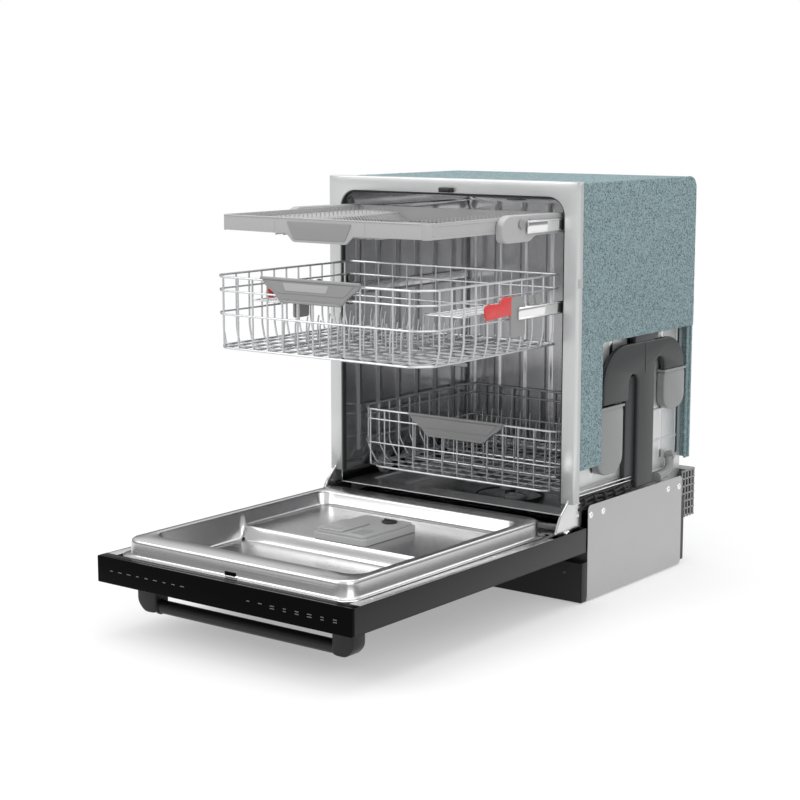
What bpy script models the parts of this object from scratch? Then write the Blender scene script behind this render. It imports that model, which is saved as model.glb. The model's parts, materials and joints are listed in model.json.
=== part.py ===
"""Built-in dishwasher with its door open flat and its two upper racks drawn out.

Sizes are in millimetres in the constants and in the calls below, and each helper builds in metres.
In the machine frame x runs across, y runs into the machine from the plane of the front frame, and
z runs up from the floor. The last step moves the whole machine along y, so that the origin lies on
the floor under the middle of its box.
"""

import math

import bmesh
import bpy
from mathutils import Matrix, Vector

MM = 0.001

# Driving dimensions of the case.
WIDTH = 598.0
HEIGHT = 817.0
HALF = WIDTH / 2
FLANGE = 27.5
FRAME_FOOT = 204.0
FRAME_RETURN = 20.0
SHEET = 1.5
GAP = 0.3
TUB_WALL = 2.0
TUB_BACK = 461.0
BODY_BACK = 470.0
REAR_END = 504.0
OPEN_HALF = HALF - FLANGE
OPEN_TOP = HEIGHT - FLANGE + 0.5
OPEN_RADIUS = 38.0
TUB_HALF = OPEN_HALF + 0.5
TUB_TOP = OPEN_TOP + 2.0
LEDGE_TOP = 180.5
LEDGE_INNER = 242.0
WELL_FLOOR = 150.0
WELL_FRONT = 60.5
SUMP_Y = 230.0
SUMP_RADIUS = 75.0

# Door, lying open: its far end, its tail behind the pivot, its underside and its inner face.
DOOR_END = -673.0
DOOR_TAIL = 52.0
DOOR_UNDER = 100.3
DOOR_INNER = 149.2
DOOR_SKIN = 1.7
PANEL_CAP = 6.0
PIVOT_Y = -4.5
PIVOT_Z = 146.5
RIM_HALF = 265.0
RIM_FRONT = -642.0
RIM_REAR = -42.0
RIM_RADIUS = 33.0
RECESS_HALF = 243.0
RECESS_FRONT = -590.0
RECESS_REAR = -95.0
STEP_Y = -345.0
PAN_FLOOR = 126.0
PLATEAU = 152.0

# Base.
BASE_FRONT = 58.0
BASE_FLOOR = 10.0
BASE_TOP = 145.0
SIDE_PLATE_FRONT = 57.4
SIDE_PLATE_REAR = 431.0
SIDE_PLATE_FOOT = 3.7
SIDE_PLATE_TOP = 192.5
KICK_Y = 36.3
KICK_TOP = 81.0

# Racks: front wire planes when drawn out, and how far each one travels.
WIRE = 4.0
RAIL_IN = 262.5
RAIL_OUT = 266.2
GUIDE_FRONT = 14.0
GUIDE_REAR = TUB_BACK - GAP
UPPER_FRONT = -412.0
UPPER_TRAVEL = 436.0
UPPER_HALF = 254.0
UPPER_FLOOR = 510.0
UPPER_TOP = 643.0
UPPER_RAIL_LOW = 571.0
UPPER_RAIL_HIGH = 594.0
THIRD_FRONT = -392.0
THIRD_TRAVEL = 428.0
THIRD_HALF = 241.0
THIRD_LOW = 728.0
THIRD_TOP = 758.0
THIRD_RAIL_LOW = 726.0
THIRD_RAIL_HIGH = 752.0
LOWER_FRONT = 36.0
LOWER_HALF = 258.0
LOWER_FLOOR_HALF = 238.0
LOWER_FLOOR = 214.0
LOWER_TOP = 334.0
RACK_DEPTH = 424.0
LOWER_DEPTH = 420.0
RACK_CHAMFER = 24.0
WHEEL_RADIUS = 20.0
WHEEL_OFFSETS = (87.0, 184.0, 347.0)

MACHINE_SHIFT = -(DOOR_END + REAR_END) / 2

STEEL = ((0.62, 0.62, 0.63), 0.22, 1.0)
GALVANISED = ((0.82, 0.83, 0.83), 0.40, 0.6)
BLACK_PAINT = ((0.045, 0.045, 0.047), 0.45, 0.0)
GLOSS_BLACK = ((0.010, 0.010, 0.011), 0.08, 0.0)
GREY_PLASTIC = ((0.42, 0.42, 0.42), 0.45, 0.0)
PALE_PLASTIC = ((0.60, 0.60, 0.60), 0.50, 0.0)
DARK_PLASTIC = ((0.10, 0.10, 0.10), 0.50, 0.0)
RED_PLASTIC = ((0.62, 0.05, 0.05), 0.40, 0.0)
FELT = ((0.19, 0.30, 0.32), 0.95, 0.0)
RUBBER = ((0.02, 0.02, 0.02), 0.60, 0.0)
WIRE_COAT = ((0.66, 0.66, 0.66), 0.35, 0.0)
IRON = ((0.20, 0.19, 0.18), 0.70, 0.3)


# ---------------------------------------------------------------- scene and materials


def clear_scene():
    for obj in list(bpy.data.objects):
        bpy.data.objects.remove(obj, do_unlink=True)


def new_collection(name):
    collection = bpy.data.collections.new(name)
    bpy.context.scene.collection.children.link(collection)
    return collection


def finish_of(node, look):
    """A Principled material named for the node, from (colour, roughness, metallic)."""
    colour, roughness, metallic = look
    material = bpy.data.materials.new(node + "_finish")
    material.use_nodes = True
    shader = material.node_tree.nodes["Principled BSDF"]
    shader.inputs["Base Color"].default_value = (*colour, 1.0)
    shader.inputs["Roughness"].default_value = roughness
    shader.inputs["Metallic"].default_value = metallic
    return material


def empty_at(name, x, y, z, parent=None):
    """An empty on a joint's axis, which its body's nodes are parented to."""
    empty = bpy.data.objects.new(name, None)
    empty.location = (x * MM, y * MM, z * MM)
    empty.empty_display_size = 0.05
    PARTS.objects.link(empty)
    if parent:
        empty.parent = parent
        empty.matrix_parent_inverse = Matrix.Translation(-Vector(parent["home"]))
    empty["home"] = tuple(empty.location)
    return empty


def hang(obj, empty):
    """Parents an object to an empty and keeps its place."""
    obj.parent = empty
    obj.matrix_parent_inverse = Matrix.Translation(-Vector(empty["home"]))


def node(obj, name, look, empty):
    """Makes an object a named sub-part of the body that hangs on the empty."""
    obj.name = name
    obj.data.name = name
    obj.data.materials.clear()
    obj.data.materials.append(finish_of(name, look))
    hang(obj, empty)
    return obj


# ---------------------------------------------------------------- shapes


def mesh_object(work, name="shape"):
    mesh = bpy.data.meshes.new(name)
    work.to_mesh(mesh)
    work.free()
    obj = bpy.data.objects.new(name, mesh)
    PARTS.objects.link(obj)
    return obj


def block(x, y, z):
    """A box between the given (low, high) pairs."""
    work = bmesh.new()
    bmesh.ops.create_cube(work, size=1.0)
    size = [(high - low) * MM for low, high in (x, y, z)]
    bmesh.ops.scale(work, vec=size, verts=work.verts)
    obj = mesh_object(work)
    obj.location = [(low + high) / 2 * MM for low, high in (x, y, z)]
    return obj


def round_block(x, y, z, axis, radius, segments=5, keep=lambda middle: True):
    """A box whose edges along one axis are rounded where keep says so of the edge's middle."""
    obj = block(x, y, z)
    work = bmesh.new()
    work.from_mesh(obj.data)
    along = {"X": 0, "Y": 1, "Z": 2}[axis]
    chosen = []
    for edge in work.edges:
        first, second = (vert.co for vert in edge.verts)
        if abs((second - first).normalized()[along]) > 0.99 and keep((first + second) / 2):
            chosen.append(edge)
    bmesh.ops.bevel(
        work, geom=chosen, offset=radius * MM, segments=segments, profile=0.5, affect="EDGES"
    )
    work.to_mesh(obj.data)
    work.free()
    return obj


def cylinder(centre, radius, length, axis="Z", segments=24):
    """A cylinder about its centre point, along one axis."""
    work = bmesh.new()
    bmesh.ops.create_cone(
        work,
        cap_ends=True,
        segments=segments,
        radius1=radius * MM,
        radius2=radius * MM,
        depth=length * MM,
    )
    obj = mesh_object(work)
    obj.data.shade_smooth()
    obj.data.set_sharp_from_angle(angle=math.radians(40))
    turns = {"X": (0, math.pi / 2, 0), "Y": (math.pi / 2, 0, 0), "Z": (0, 0, 0)}
    obj.rotation_euler = turns[axis]
    obj.location = [value * MM for value in centre]
    return obj


def turned(centre, profile, steps=24):
    """A turned solid: a profile of (radius, height) from its top down, spun about Z with a Screw."""
    work = bmesh.new()
    points = [work.verts.new((radius * MM, 0, height * MM)) for radius, height in profile]
    for first, second in zip(points, points[1:]):
        work.edges.new((first, second))
    obj = mesh_object(work)
    screw = obj.modifiers.new("Spin", "SCREW")
    screw.steps = steps
    screw.render_steps = steps
    screw.use_merge_vertices = True
    screw.merge_threshold = 0.00001
    screw.use_smooth_shade = True
    obj.location = [value * MM for value in centre]
    return obj


def plate(outline, axis, low, high):
    """A flat outline extruded along an axis. The outline's pairs are (x, y) for axis Z, (y, z) for
    axis X and (x, z) for axis Y."""
    curve = bpy.data.curves.new("outline", "CURVE")
    curve.dimensions = "2D"
    curve.fill_mode = "BOTH"
    curve.extrude = (high - low) / 2 * MM
    spline = curve.splines.new("POLY")
    spline.points.add(len(outline) - 1)
    for point, (first, second) in zip(spline.points, outline):
        point.co = (first * MM, second * MM, 0, 1)
    spline.use_cyclic_u = True
    flat = bpy.data.objects.new("outline", curve)
    PARTS.objects.link(flat)
    bpy.context.view_layer.update()
    graph = bpy.context.evaluated_depsgraph_get()
    mesh = bpy.data.meshes.new_from_object(flat.evaluated_get(graph))
    bpy.data.objects.remove(flat, do_unlink=True)
    middle = (low + high) / 2 * MM
    turns = {
        "X": Matrix(((0, 0, 1, middle), (1, 0, 0, 0), (0, 1, 0, 0), (0, 0, 0, 1))),
        "Y": Matrix(((1, 0, 0, 0), (0, 0, 1, middle), (0, 1, 0, 0), (0, 0, 0, 1))),
        "Z": Matrix.Translation((0, 0, middle)),
    }
    work = bmesh.new()
    work.from_mesh(mesh)
    bmesh.ops.remove_doubles(work, verts=work.verts, dist=0.00001)
    bmesh.ops.transform(work, matrix=turns[axis], verts=work.verts)
    bmesh.ops.recalc_face_normals(work, faces=work.faces)
    bpy.data.meshes.remove(mesh)
    return mesh_object(work)


def rod(points, radius, bevel_resolution=2):
    """A straight-jointed wire along the points, as a mesh with its end caps welded on."""
    curve = bpy.data.curves.new("rod", "CURVE")
    curve.dimensions = "3D"
    curve.bevel_depth = radius * MM
    curve.bevel_resolution = bevel_resolution
    curve.use_fill_caps = True
    spline = curve.splines.new("POLY")
    spline.points.add(len(points) - 1)
    for point, place in zip(spline.points, points):
        point.co = (*[value * MM for value in place], 1)
    wire = bpy.data.objects.new("rod", curve)
    PARTS.objects.link(wire)
    bpy.context.view_layer.update()
    graph = bpy.context.evaluated_depsgraph_get()
    mesh = bpy.data.meshes.new_from_object(wire.evaluated_get(graph))
    bpy.data.objects.remove(wire, do_unlink=True)
    work = bmesh.new()
    work.from_mesh(mesh)
    bmesh.ops.remove_doubles(work, verts=work.verts, dist=0.00001)
    bmesh.ops.recalc_face_normals(work, faces=work.faces)
    bpy.data.meshes.remove(mesh)
    return mesh_object(work)


def boolean(target, operation, others):
    for other in others:
        for collection in list(other.users_collection):
            collection.objects.unlink(other)
        CUTTERS.objects.link(other)
        other.hide_render = True
        other.display_type = "WIRE"
        hang(other, MACHINE)
        change = target.modifiers.new(operation.title(), "BOOLEAN")
        change.operation = operation
        change.solver = "EXACT"
        change.object = other
    return target


def cut(target, *cutters):
    return boolean(target, "DIFFERENCE", cutters)


def join(target, *others):
    return boolean(target, "UNION", others)


def arc(centre, radius, start, end, steps=6):
    """Points on a circle from one angle to another, in degrees."""
    first, second = centre
    found = []
    for step in range(steps + 1):
        angle = math.radians(start + (end - start) * step / steps)
        found.append((first + radius * math.cos(angle), second + radius * math.sin(angle)))
    return found


# ---------------------------------------------------------------- case


def make_tub():
    """The stainless tub's walls, open in front and below, and its floor, sunk between ledges."""
    outer = TUB_HALF + TUB_WALL
    under_ledge = LEDGE_TOP - TUB_WALL
    walls = block((-outer, outer), (SHEET + GAP, TUB_BACK + TUB_WALL), (LEDGE_TOP + GAP, TUB_TOP + TUB_WALL))
    cavity = round_block(
        (-TUB_HALF, TUB_HALF), (-10, TUB_BACK), (WELL_FLOOR - 50, TUB_TOP), "Y", OPEN_RADIUS,
        keep=lambda middle: middle.z > 0,
    )
    cut(walls, cavity)
    node(walls, "tub_shell", STEEL, MACHINE)

    floor = block((-outer, outer), (SHEET + GAP, TUB_BACK + TUB_WALL), (WELL_FLOOR - TUB_WALL, LEDGE_TOP))
    well_half = LEDGE_INNER - TUB_WALL
    well = block((-well_half, well_half), (WELL_FRONT, TUB_BACK), (WELL_FLOOR, LEDGE_TOP + 5))
    front_notch = block((-outer - 5, outer + 5), (-10, WELL_FRONT - TUB_WALL), (WELL_FLOOR - 20, under_ledge))
    side_notches = [
        block(
            sorted((side * (LEDGE_INNER + 0.2), side * (outer + 5))),
            (-10, TUB_BACK + 20),
            (WELL_FLOOR - 20, under_ledge),
        )
        for side in (-1, 1)
    ]
    drain = cylinder((0, SUMP_Y, WELL_FLOOR), SUMP_RADIUS, 20, segments=32)
    cut(floor, well, front_notch, *side_notches, drain)
    node(floor, "tub_floor", STEEL, MACHINE)


def make_front_frame():
    """The white-metal frame round the opening: a face sheet with an outer return."""
    frame = block((-HALF, HALF), (0, FRAME_RETURN), (FRAME_FOOT, HEIGHT))
    hollow = block((-HALF + SHEET, HALF - SHEET), (SHEET, FRAME_RETURN + 5), (FRAME_FOOT - 5, HEIGHT - SHEET))
    opening = round_block(
        (-OPEN_HALF, OPEN_HALF), (-5, SHEET + 5), (FRAME_FOOT - 2 * OPEN_RADIUS, OPEN_TOP), "Y", OPEN_RADIUS,
        keep=lambda middle: middle.z > 0,
    )
    cut(frame, hollow, opening)
    node(frame, "front_frame", GALVANISED, MACHINE)


def make_seal():
    """The black rubber seal, a U on its head just inside the opening."""
    outer_half = OPEN_HALF - GAP
    inner_half = outer_half - 4.0
    outer_top = OPEN_TOP - GAP
    top_corners = lambda middle: middle.z > 0
    foot = 188.0
    seal = round_block(
        (-outer_half, outer_half), (0.5, 12.0), (foot, outer_top), "Y", OPEN_RADIUS - GAP, keep=top_corners
    )
    inside = round_block(
        (-inner_half, inner_half), (-5, 20), (foot - 80, outer_top - 4.0),
        "Y", OPEN_RADIUS - 4.0, keep=top_corners,
    )
    cut(seal, inside)
    node(seal, "door_seal", RUBBER, MACHINE)


def make_insulation():
    """The felt blanket over the top, the sides and the back, with the open bay on the right."""
    outer = HALF - SHEET - 1.0
    inner = outer - 7.5
    top = HEIGHT - SHEET
    front = FRAME_RETURN + 1.0
    foot = 225.0
    blanket = round_block(
        (-outer, outer), (front, BODY_BACK), (foot, top), "X", 22.0,
        keep=lambda middle: middle.z > 0 and middle.y > 0,
    )
    inside = block((-inner, inner), (front - 5, TUB_BACK + TUB_WALL + 0.7), (foot - 5, top - 7.5))
    bay = block((inner - 20, outer + 5), (107.0, 417.6), (foot - 5, 506.0))
    tank_bay = block((inner - 20, outer + 5), (410.0, 446.0), (336.0, 506.0))
    under_strip = block((inner - 20, outer + 5), (front - 5, 110.0), (foot - 5, 263.0))
    cut(blanket, inside, bay, tank_bay, under_strip)
    node(blanket, "insulation", FELT, MACHINE)


def make_base():
    """The plastic base tray, with a hole for each foot's stem, and its covers."""
    outer = HALF - 2.5
    wall = 3.0
    tray = block((-outer, outer), (BASE_FRONT, 446.0), (BASE_FLOOR, BASE_TOP))
    hollow = block(
        (-outer + wall, outer - wall), (BASE_FRONT + wall, 446.0 - wall), (BASE_FLOOR + wall, BASE_TOP + 5)
    )
    holes = [cylinder((x, y, BASE_FLOOR), 8.0, 20, segments=16) for _, x, y in feet_places()]
    cut(tray, hollow, *holes)
    node(tray, "base_pan", DARK_PLASTIC, MACHINE)

    for side, name in ((-1, "side_plate_left"), (1, "side_plate_right")):
        cover = round_block(
            sorted((side * (HALF - 1.7), side * (HALF - 0.2))),
            (SIDE_PLATE_FRONT, SIDE_PLATE_REAR), (SIDE_PLATE_FOOT, SIDE_PLATE_TOP), "X", 9.0, 4,
        )
        node(cover, name, GALVANISED, MACHINE)

    kick = block((-HALF + 1, HALF - 1), (KICK_Y, KICK_Y + SHEET), (2.0, KICK_TOP))
    node(kick, "kick_plate", BLACK_PAINT, MACHINE)

    grille = block((-290, 290), (447.3, REAR_END), (95, 198))
    grille_inside = block((-287.5, 287.5), (440, REAR_END - 2.5), (90, 195.5))
    beside_tub = block((-287.5, 287.5), (440, TUB_BACK + TUB_WALL + GAP), (90, 205))
    cut(grille, grille_inside, beside_tub)
    node(grille, "rear_grille", GREY_PLASTIC, MACHINE)

    weight = block((-200, 200), (380, 440), (BASE_FLOOR + 3 + GAP, 92))
    node(weight, "counterweight", IRON, MACHINE)


def feet_places():
    """(name, x, y) of each levelling foot."""
    side_x = 245.0
    return (
        ("foot_front_left", -side_x, 72.0),
        ("foot_front_right", side_x, 72.0),
        ("foot_rear_left", -side_x, 425.0),
        ("foot_rear_right", side_x, 425.0),
    )


def make_feet():
    """Levelling feet: a pad on a stem that screws down out of the base."""
    for name, x, y in feet_places():
        axis = empty_at(name + "_axis", x, y, 0, MACHINE)
        foot = turned((x, y, 0), ((0, 62), (6, 62), (6, 8), (22, 7), (24, 0), (0, 0)), 20)
        node(foot, name, DARK_PLASTIC, axis)


def make_wet_parts():
    """The sump under the tub floor with its drain pump, the circulation pump and the filter."""
    radius = SUMP_RADIUS - 2.0
    top = WELL_FLOOR - GAP
    profile = ((radius - 3, top), (radius, top), (radius, 96), (0, 96))
    inner = ((0, 99), (radius - 3, 99))
    sump = turned((0, SUMP_Y, 0), (*inner, *profile), 32)
    riser = cylinder((0, SUMP_Y, 129), 11, 62, segments=16)
    drain_pump = cylinder((125, SUMP_Y, 120), 21, 130, "X")
    join(sump, riser, drain_pump)
    node(sump, "sump", DARK_PLASTIC, MACHINE)

    motor = cylinder((-150, 300, 58), 42, 90, "X")
    volute = cylinder((-82, 300, 58), 34, 50, "X")
    join(motor, volute)
    node(motor, "circulation_pump", GREY_PLASTIC, MACHINE)

    x, y = 33.0, SUMP_Y - 26.0
    axis = empty_at("filter_axis", x, y, WELL_FLOOR, MACHINE)
    strainer = turned((x, y, 0), ((0, 156), (22, 156), (24, 153), (24, 104), (0, 104)), 24)
    node(strainer, "filter", GREY_PLASTIC, axis)


def spray_arm(name, x, y, low, reach, hub_low, hub_high, look, parent):
    """A two-bladed arm about a hub, its blades rounded at the tips."""
    axis = empty_at(name + "_axis", x, y, low, parent)
    half_width = 19.0
    tips = arc((x + reach - half_width, y), half_width, -90, 90)
    tips += arc((x - reach + half_width, y), half_width, 90, 270)
    blades = plate(tips, "Z", low, low + 11)
    hub = cylinder((x, y, (hub_low + hub_high) / 2), 22, hub_high - hub_low, segments=20)
    join(blades, hub)
    node(blades, name, look, axis)


def make_air_breaker():
    """The arch-shaped inlet duct on the right wall, with its two tanks, as one moulding."""
    inner = TUB_HALF + TUB_WALL + 2.0
    outer = HALF - 4.0
    tank_outer = HALF - 10.6
    arch = round_block((inner, outer), (120, 432), (385, 492), "X", 85.0, 6, keep=lambda middle: middle.z > 0)
    column = block((inner, outer), (240, 306), (196, 390))
    front_leg = block((inner, outer), (128, 200), (330, 390))
    rear_leg = block((inner, outer), (357, 425), (375, 390))
    at_foot = lambda middle: middle.z < 0
    front_tank = round_block((inner, tank_outer), (88, 192), (238, 376), "X", 30.0, 4, keep=at_foot)
    rear_tank = round_block((inner, tank_outer), (352, 440), (340, 424), "X", 30.0, 4, keep=at_foot)
    join(arch, column, front_leg, rear_leg, front_tank, rear_tank)
    node(arch, "air_breaker", DARK_PLASTIC, MACHINE)


def make_hinge_plates():
    """The fixed plates at the sides of the threshold that carry the door's pivots."""
    outline = [(2, 262), (2, 203.4), (-20, 196), (-40, 172), (-46, 151)]
    outline += [(-16, 151)] + arc((PIVOT_Y, PIVOT_Z), 11, 200, 340, 6)
    outline += [(14, 151), (50, 151), (50, 196), (22, 215), (20, 262)]
    for side, name in ((-1, "hinge_plate_left"), (1, "hinge_plate_right")):
        ends = sorted((side * 285.5, side * 288.5))
        node(plate(outline, "X", *ends), name, GALVANISED, MACHINE)


def make_striker():
    """The black striker at the middle of the top flange, which the door's latch takes."""
    striker = block((-16, 16), (-14, -GAP), (OPEN_TOP, OPEN_TOP + 10.5))
    node(striker, "latch_striker", RUBBER, MACHINE)


def guide(name, side, low, high):
    """A channel on the tub wall, open to the middle, that a rack's rail runs along."""
    front, rear = GUIDE_FRONT, GUIDE_REAR
    wall = TUB_HALF - GAP
    channel = block(sorted((side * 267.0, side * wall)), (front, rear), (low, high))
    groove = block(sorted((side * 266.0, side * (wall - 1.6))), (front - 5, rear + 5), (low + 3, high - 3))
    cut(channel, groove)
    node(channel, name, STEEL, MACHINE)


def make_guides():
    for side, hand in ((-1, "left"), (1, "right")):
        guide("upper_guide_" + hand, side, UPPER_RAIL_LOW, UPPER_RAIL_HIGH)
        guide("third_guide_" + hand, side, THIRD_RAIL_LOW, THIRD_RAIL_HIGH)


# ---------------------------------------------------------------- door


def make_door_panel(axis):
    """The painted outer door: a tray of one skin, with the control strip closing its far end."""
    low_y = DOOR_END + PANEL_CAP + GAP
    half = HALF - 1.0
    panel = block((-half, half), (low_y, DOOR_TAIL), (DOOR_UNDER, DOOR_INNER))
    inside = block(
        (-half + DOOR_SKIN, half - DOOR_SKIN),
        (low_y + DOOR_SKIN, DOOR_TAIL - DOOR_SKIN),
        (DOOR_UNDER + DOOR_SKIN, DOOR_INNER + 5),
    )
    cut(panel, inside)
    node(panel, "door_panel", BLACK_PAINT, axis)

    strip = block((-half, half), (DOOR_END, DOOR_END + PANEL_CAP), (DOOR_UNDER, DOOR_INNER + 0.4))
    node(strip, "control_panel", GLOSS_BLACK, axis)


def make_door_liner(axis):
    """The pressed steel liner: a flat flange, a raised rim with a ledge and a stepped recess."""
    half = HALF - 3.1
    skin = DOOR_SKIN
    flange = block((-half, half), (DOOR_END + 8.3, DOOR_TAIL - 2.0), (DOOR_INNER - skin, DOOR_INNER))
    rim = round_block(
        (-RIM_HALF, RIM_HALF), (RIM_FRONT, RIM_REAR), (DOOR_INNER - skin, LEDGE_TOP), "Z", RIM_RADIUS
    )
    pan = block(
        (-RECESS_HALF - skin, RECESS_HALF + skin),
        (RECESS_FRONT - skin, RECESS_REAR + skin),
        (PAN_FLOOR - skin, DOOR_INNER),
    )
    recess = (-RECESS_HALF, RECESS_HALF)
    front_recess = round_block(
        recess, (RECESS_FRONT, STEP_Y), (PAN_FLOOR, LEDGE_TOP + 20),
        "Z", 28.0, keep=lambda middle: middle.y < 0,
    )
    rear_recess = round_block(
        recess, (STEP_Y - 10, RECESS_REAR), (PLATEAU, LEDGE_TOP + 20),
        "Z", 28.0, keep=lambda middle: middle.y > 0,
    )
    under_plateau = block(recess, (STEP_Y + skin, RECESS_REAR + skin), (PAN_FLOOR - 10, PLATEAU - skin))
    ring = round_block(
        (-RIM_HALF + skin, RIM_HALF - skin), (RIM_FRONT + skin, RIM_REAR - skin),
        (DOOR_INNER - skin - 10, LEDGE_TOP - skin), "Z", RIM_RADIUS - skin,
    )
    ring_middle = block(
        (-RECESS_HALF - skin, RECESS_HALF + skin), (RECESS_FRONT - skin, RECESS_REAR + skin),
        (PAN_FLOOR - 20, LEDGE_TOP + 5),
    )
    cut(ring, ring_middle)
    slot = block((-18, 18), (-663, RIM_FRONT - 1.5), (DOOR_INNER - 10, DOOR_INNER + 5))
    notches = [
        block(
            sorted((side * 283.5, side * (HALF + 5))), (-64, DOOR_TAIL + 5), (DOOR_INNER - 10, DOOR_INNER + 5)
        )
        for side in (-1, 1)
    ]
    join(flange, rim, pan)
    cut(flange, front_recess, rear_recess, under_plateau, ring, slot, *notches)
    node(flange, "door_liner", STEEL, axis)


def make_handle(axis):
    """The bar handle under the open door: a tube between two rounded posts."""
    bar_y, bar_z, bar_radius = -600.0, 52.0, 13.0
    post_inner, post_outer = 208.0, 255.0
    bar = rod([(-post_inner - 10, bar_y, bar_z), (post_inner + 10, bar_y, bar_z)], bar_radius, 3)
    posts = [
        round_block(
            sorted((side * post_inner, side * post_outer)),
            (-617, -582),
            (bar_z - 11, DOOR_UNDER - GAP),
            "Y", 16.0, 4,
            keep=lambda middle, side=side: middle.z < 0 and middle.x * side > 0,
        )
        for side in (-1, 1)
    ]
    join(bar, *posts)
    node(bar, "door_handle", BLACK_PAINT, axis)


def make_dispenser(axis):
    """The detergent dispenser on the liner's plateau, with a sliding lid and a rinse-aid cap."""
    low = PLATEAU + GAP
    top = 170.0
    body = round_block((-66, 61), (-341, -180), (low, top), "Z", 8.0, 3)
    tray = block((-58, -4), (-330, -250), (top - 12, top + 5))
    cut(body, tray)
    node(body, "dispenser_body", PALE_PLASTIC, axis)

    lid_axis = empty_at("dispenser_lid_axis", -31, -290, top, axis)
    lid = block((-62, 0), (-334, -246), (top + GAP, top + 2.8))
    node(lid, "dispenser_lid", PALE_PLASTIC, lid_axis)

    cap_axis = empty_at("rinse_cap_axis", 20, -213, top, axis)
    cap = cylinder((20, -213, top + GAP + 1.6), 15, 3.2, segments=20)
    grip = block((8, 32), (-215, -211), (top + 1, top + 7))
    join(cap, grip)
    node(cap, "rinse_cap", DARK_PLASTIC, cap_axis)


def make_latch(axis):
    """The sprung latch hook inside the door, under its slot."""
    pin_y, pin_z = -653.0, 122.0
    latch_axis = empty_at("latch_pawl_axis", 0, pin_y, pin_z, axis)
    outline = arc((pin_y, pin_z), 6, 0, -180, 6) + [(pin_y - 6, 133), (pin_y + 2, 133), (pin_y + 6, 129)]
    node(plate(outline, "X", -7, 7), "latch_pawl", GALVANISED, latch_axis)


def make_door():
    axis = empty_at("door_axis", 0, PIVOT_Y, PIVOT_Z, MACHINE)
    make_door_panel(axis)
    make_door_liner(axis)
    make_handle(axis)
    make_dispenser(axis)
    make_latch(axis)


# ---------------------------------------------------------------- racks


def even_steps(low, high, steps):
    return [low + (high - low) * step / steps for step in range(steps + 1)]


def wire_basket(half, floor_half, front, depth, levels, columns, rows):
    """An open wire basket, as a lattice over a grid floor and walls whose front corners are cut off.

    levels holds (height, share of the way from floor_half to half) of each ring from the floor up.
    """
    inner = half - RACK_CHAMFER
    across = [-half] + even_steps(-inner, inner, columns) + [half]
    along = [front] + even_steps(front + RACK_CHAMFER, front + depth, rows)
    work = bmesh.new()
    bmesh.ops.create_grid(work, x_segments=len(across) - 1, y_segments=len(along) - 1, size=0.5)
    floor_scale = floor_half / half
    floor_z = levels[0][0]
    for vert in work.verts:
        column = round((vert.co.x + 0.5) * (len(across) - 1))
        row = round((vert.co.y + 0.5) * (len(along) - 1))
        x, y = across[column], along[row]
        if row == 0 and column in (0, len(across) - 1):
            x = math.copysign(half - RACK_CHAMFER / 2, x)
            y = front + RACK_CHAMFER / 2
        vert.co = (x * floor_scale * MM, y * MM, floor_z * MM)
    edges = [edge for edge in work.edges if edge.is_boundary]
    share = 0.0
    for height, next_share in levels[1:]:
        made = bmesh.ops.extrude_edge_only(work, edges=edges)["geom"]
        edges = [item for item in made if isinstance(item, bmesh.types.BMEdge)]
        before = floor_half + (half - floor_half) * share
        after = floor_half + (half - floor_half) * next_share
        for vert in {vert for edge in edges for vert in edge.verts}:
            vert.co.x *= after / before
            vert.co.z = height * MM
        share = next_share
    bmesh.ops.recalc_face_normals(work, faces=work.faces)
    basket = mesh_object(work)
    wires = basket.modifiers.new("Wires", "WIREFRAME")
    wires.thickness = WIRE * MM
    wires.use_even_offset = False
    wires.use_boundary = True
    wires.use_replace = True
    return basket


def rack_handle(name, front, low, look, axis):
    """The trapezoid grip in the middle of a rack's front wires."""
    top = low + 44
    right = [(117, top), (100, low + 13), (78, low + 11), (62, low)]
    outline = right + [(-x, z) for x, z in reversed(right)]
    node(plate(outline, "Y", front - 12, front - WIRE / 2 - GAP), name, look, axis)


def rack_rail(name, side, front, rear, low, high, bracket, axis):
    """A rack's own rail, with the bracket that ties it to the rack."""
    ends = sorted((side * RAIL_IN, side * RAIL_OUT))
    rail = block(ends, (front, rear), (low, high))
    join(rail, block(ends, *bracket))
    node(rail, name, STEEL, axis)


def runner(name, rear, low, high, parent):
    """The end carriage in the right-hand guide, which takes a rack in as the door closes."""
    axis = empty_at(name + "_axis", 268.5, GUIDE_FRONT, (low + high) / 2, parent)
    carriage = block((267.3, TUB_HALF - GAP - 2.1), (GUIDE_FRONT + GAP, rear), (low + 4, high - 4))
    node(carriage, name, GREY_PLASTIC, axis)
    return axis


def make_upper_rack():
    rear = TUB_BACK - UPPER_TRAVEL - 1.0
    run_axis = runner("upper_runner", rear, UPPER_RAIL_LOW, UPPER_RAIL_HIGH, MACHINE)
    axis = empty_at("upper_rack_axis", 0, UPPER_FRONT, UPPER_FLOOR, run_axis)
    levels = ((UPPER_FLOOR, 0), (572, 0), (UPPER_TOP, 0))
    basket = wire_basket(UPPER_HALF, UPPER_HALF, UPPER_FRONT, RACK_DEPTH, levels, 6, 6)
    node(basket, "upper_basket", WIRE_COAT, axis)
    rack_handle("upper_handle", UPPER_FRONT, 606, GREY_PLASTIC, axis)
    for side, hand in ((-1, "left"), (1, "right")):
        rack_rail(
            "upper_rail_" + hand, side, -120, rear, UPPER_RAIL_LOW, UPPER_RAIL_HIGH,
            ((-163, -117), (540, 614)), axis,
        )
        make_height_lever(side, hand, axis)
        make_cup_shelf(side, hand, axis)
    spray_arm("upper_spray_arm", 0, -200, 482, 190, 480, UPPER_FLOOR - WIRE / 2 - GAP, GREY_PLASTIC, axis)


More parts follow.
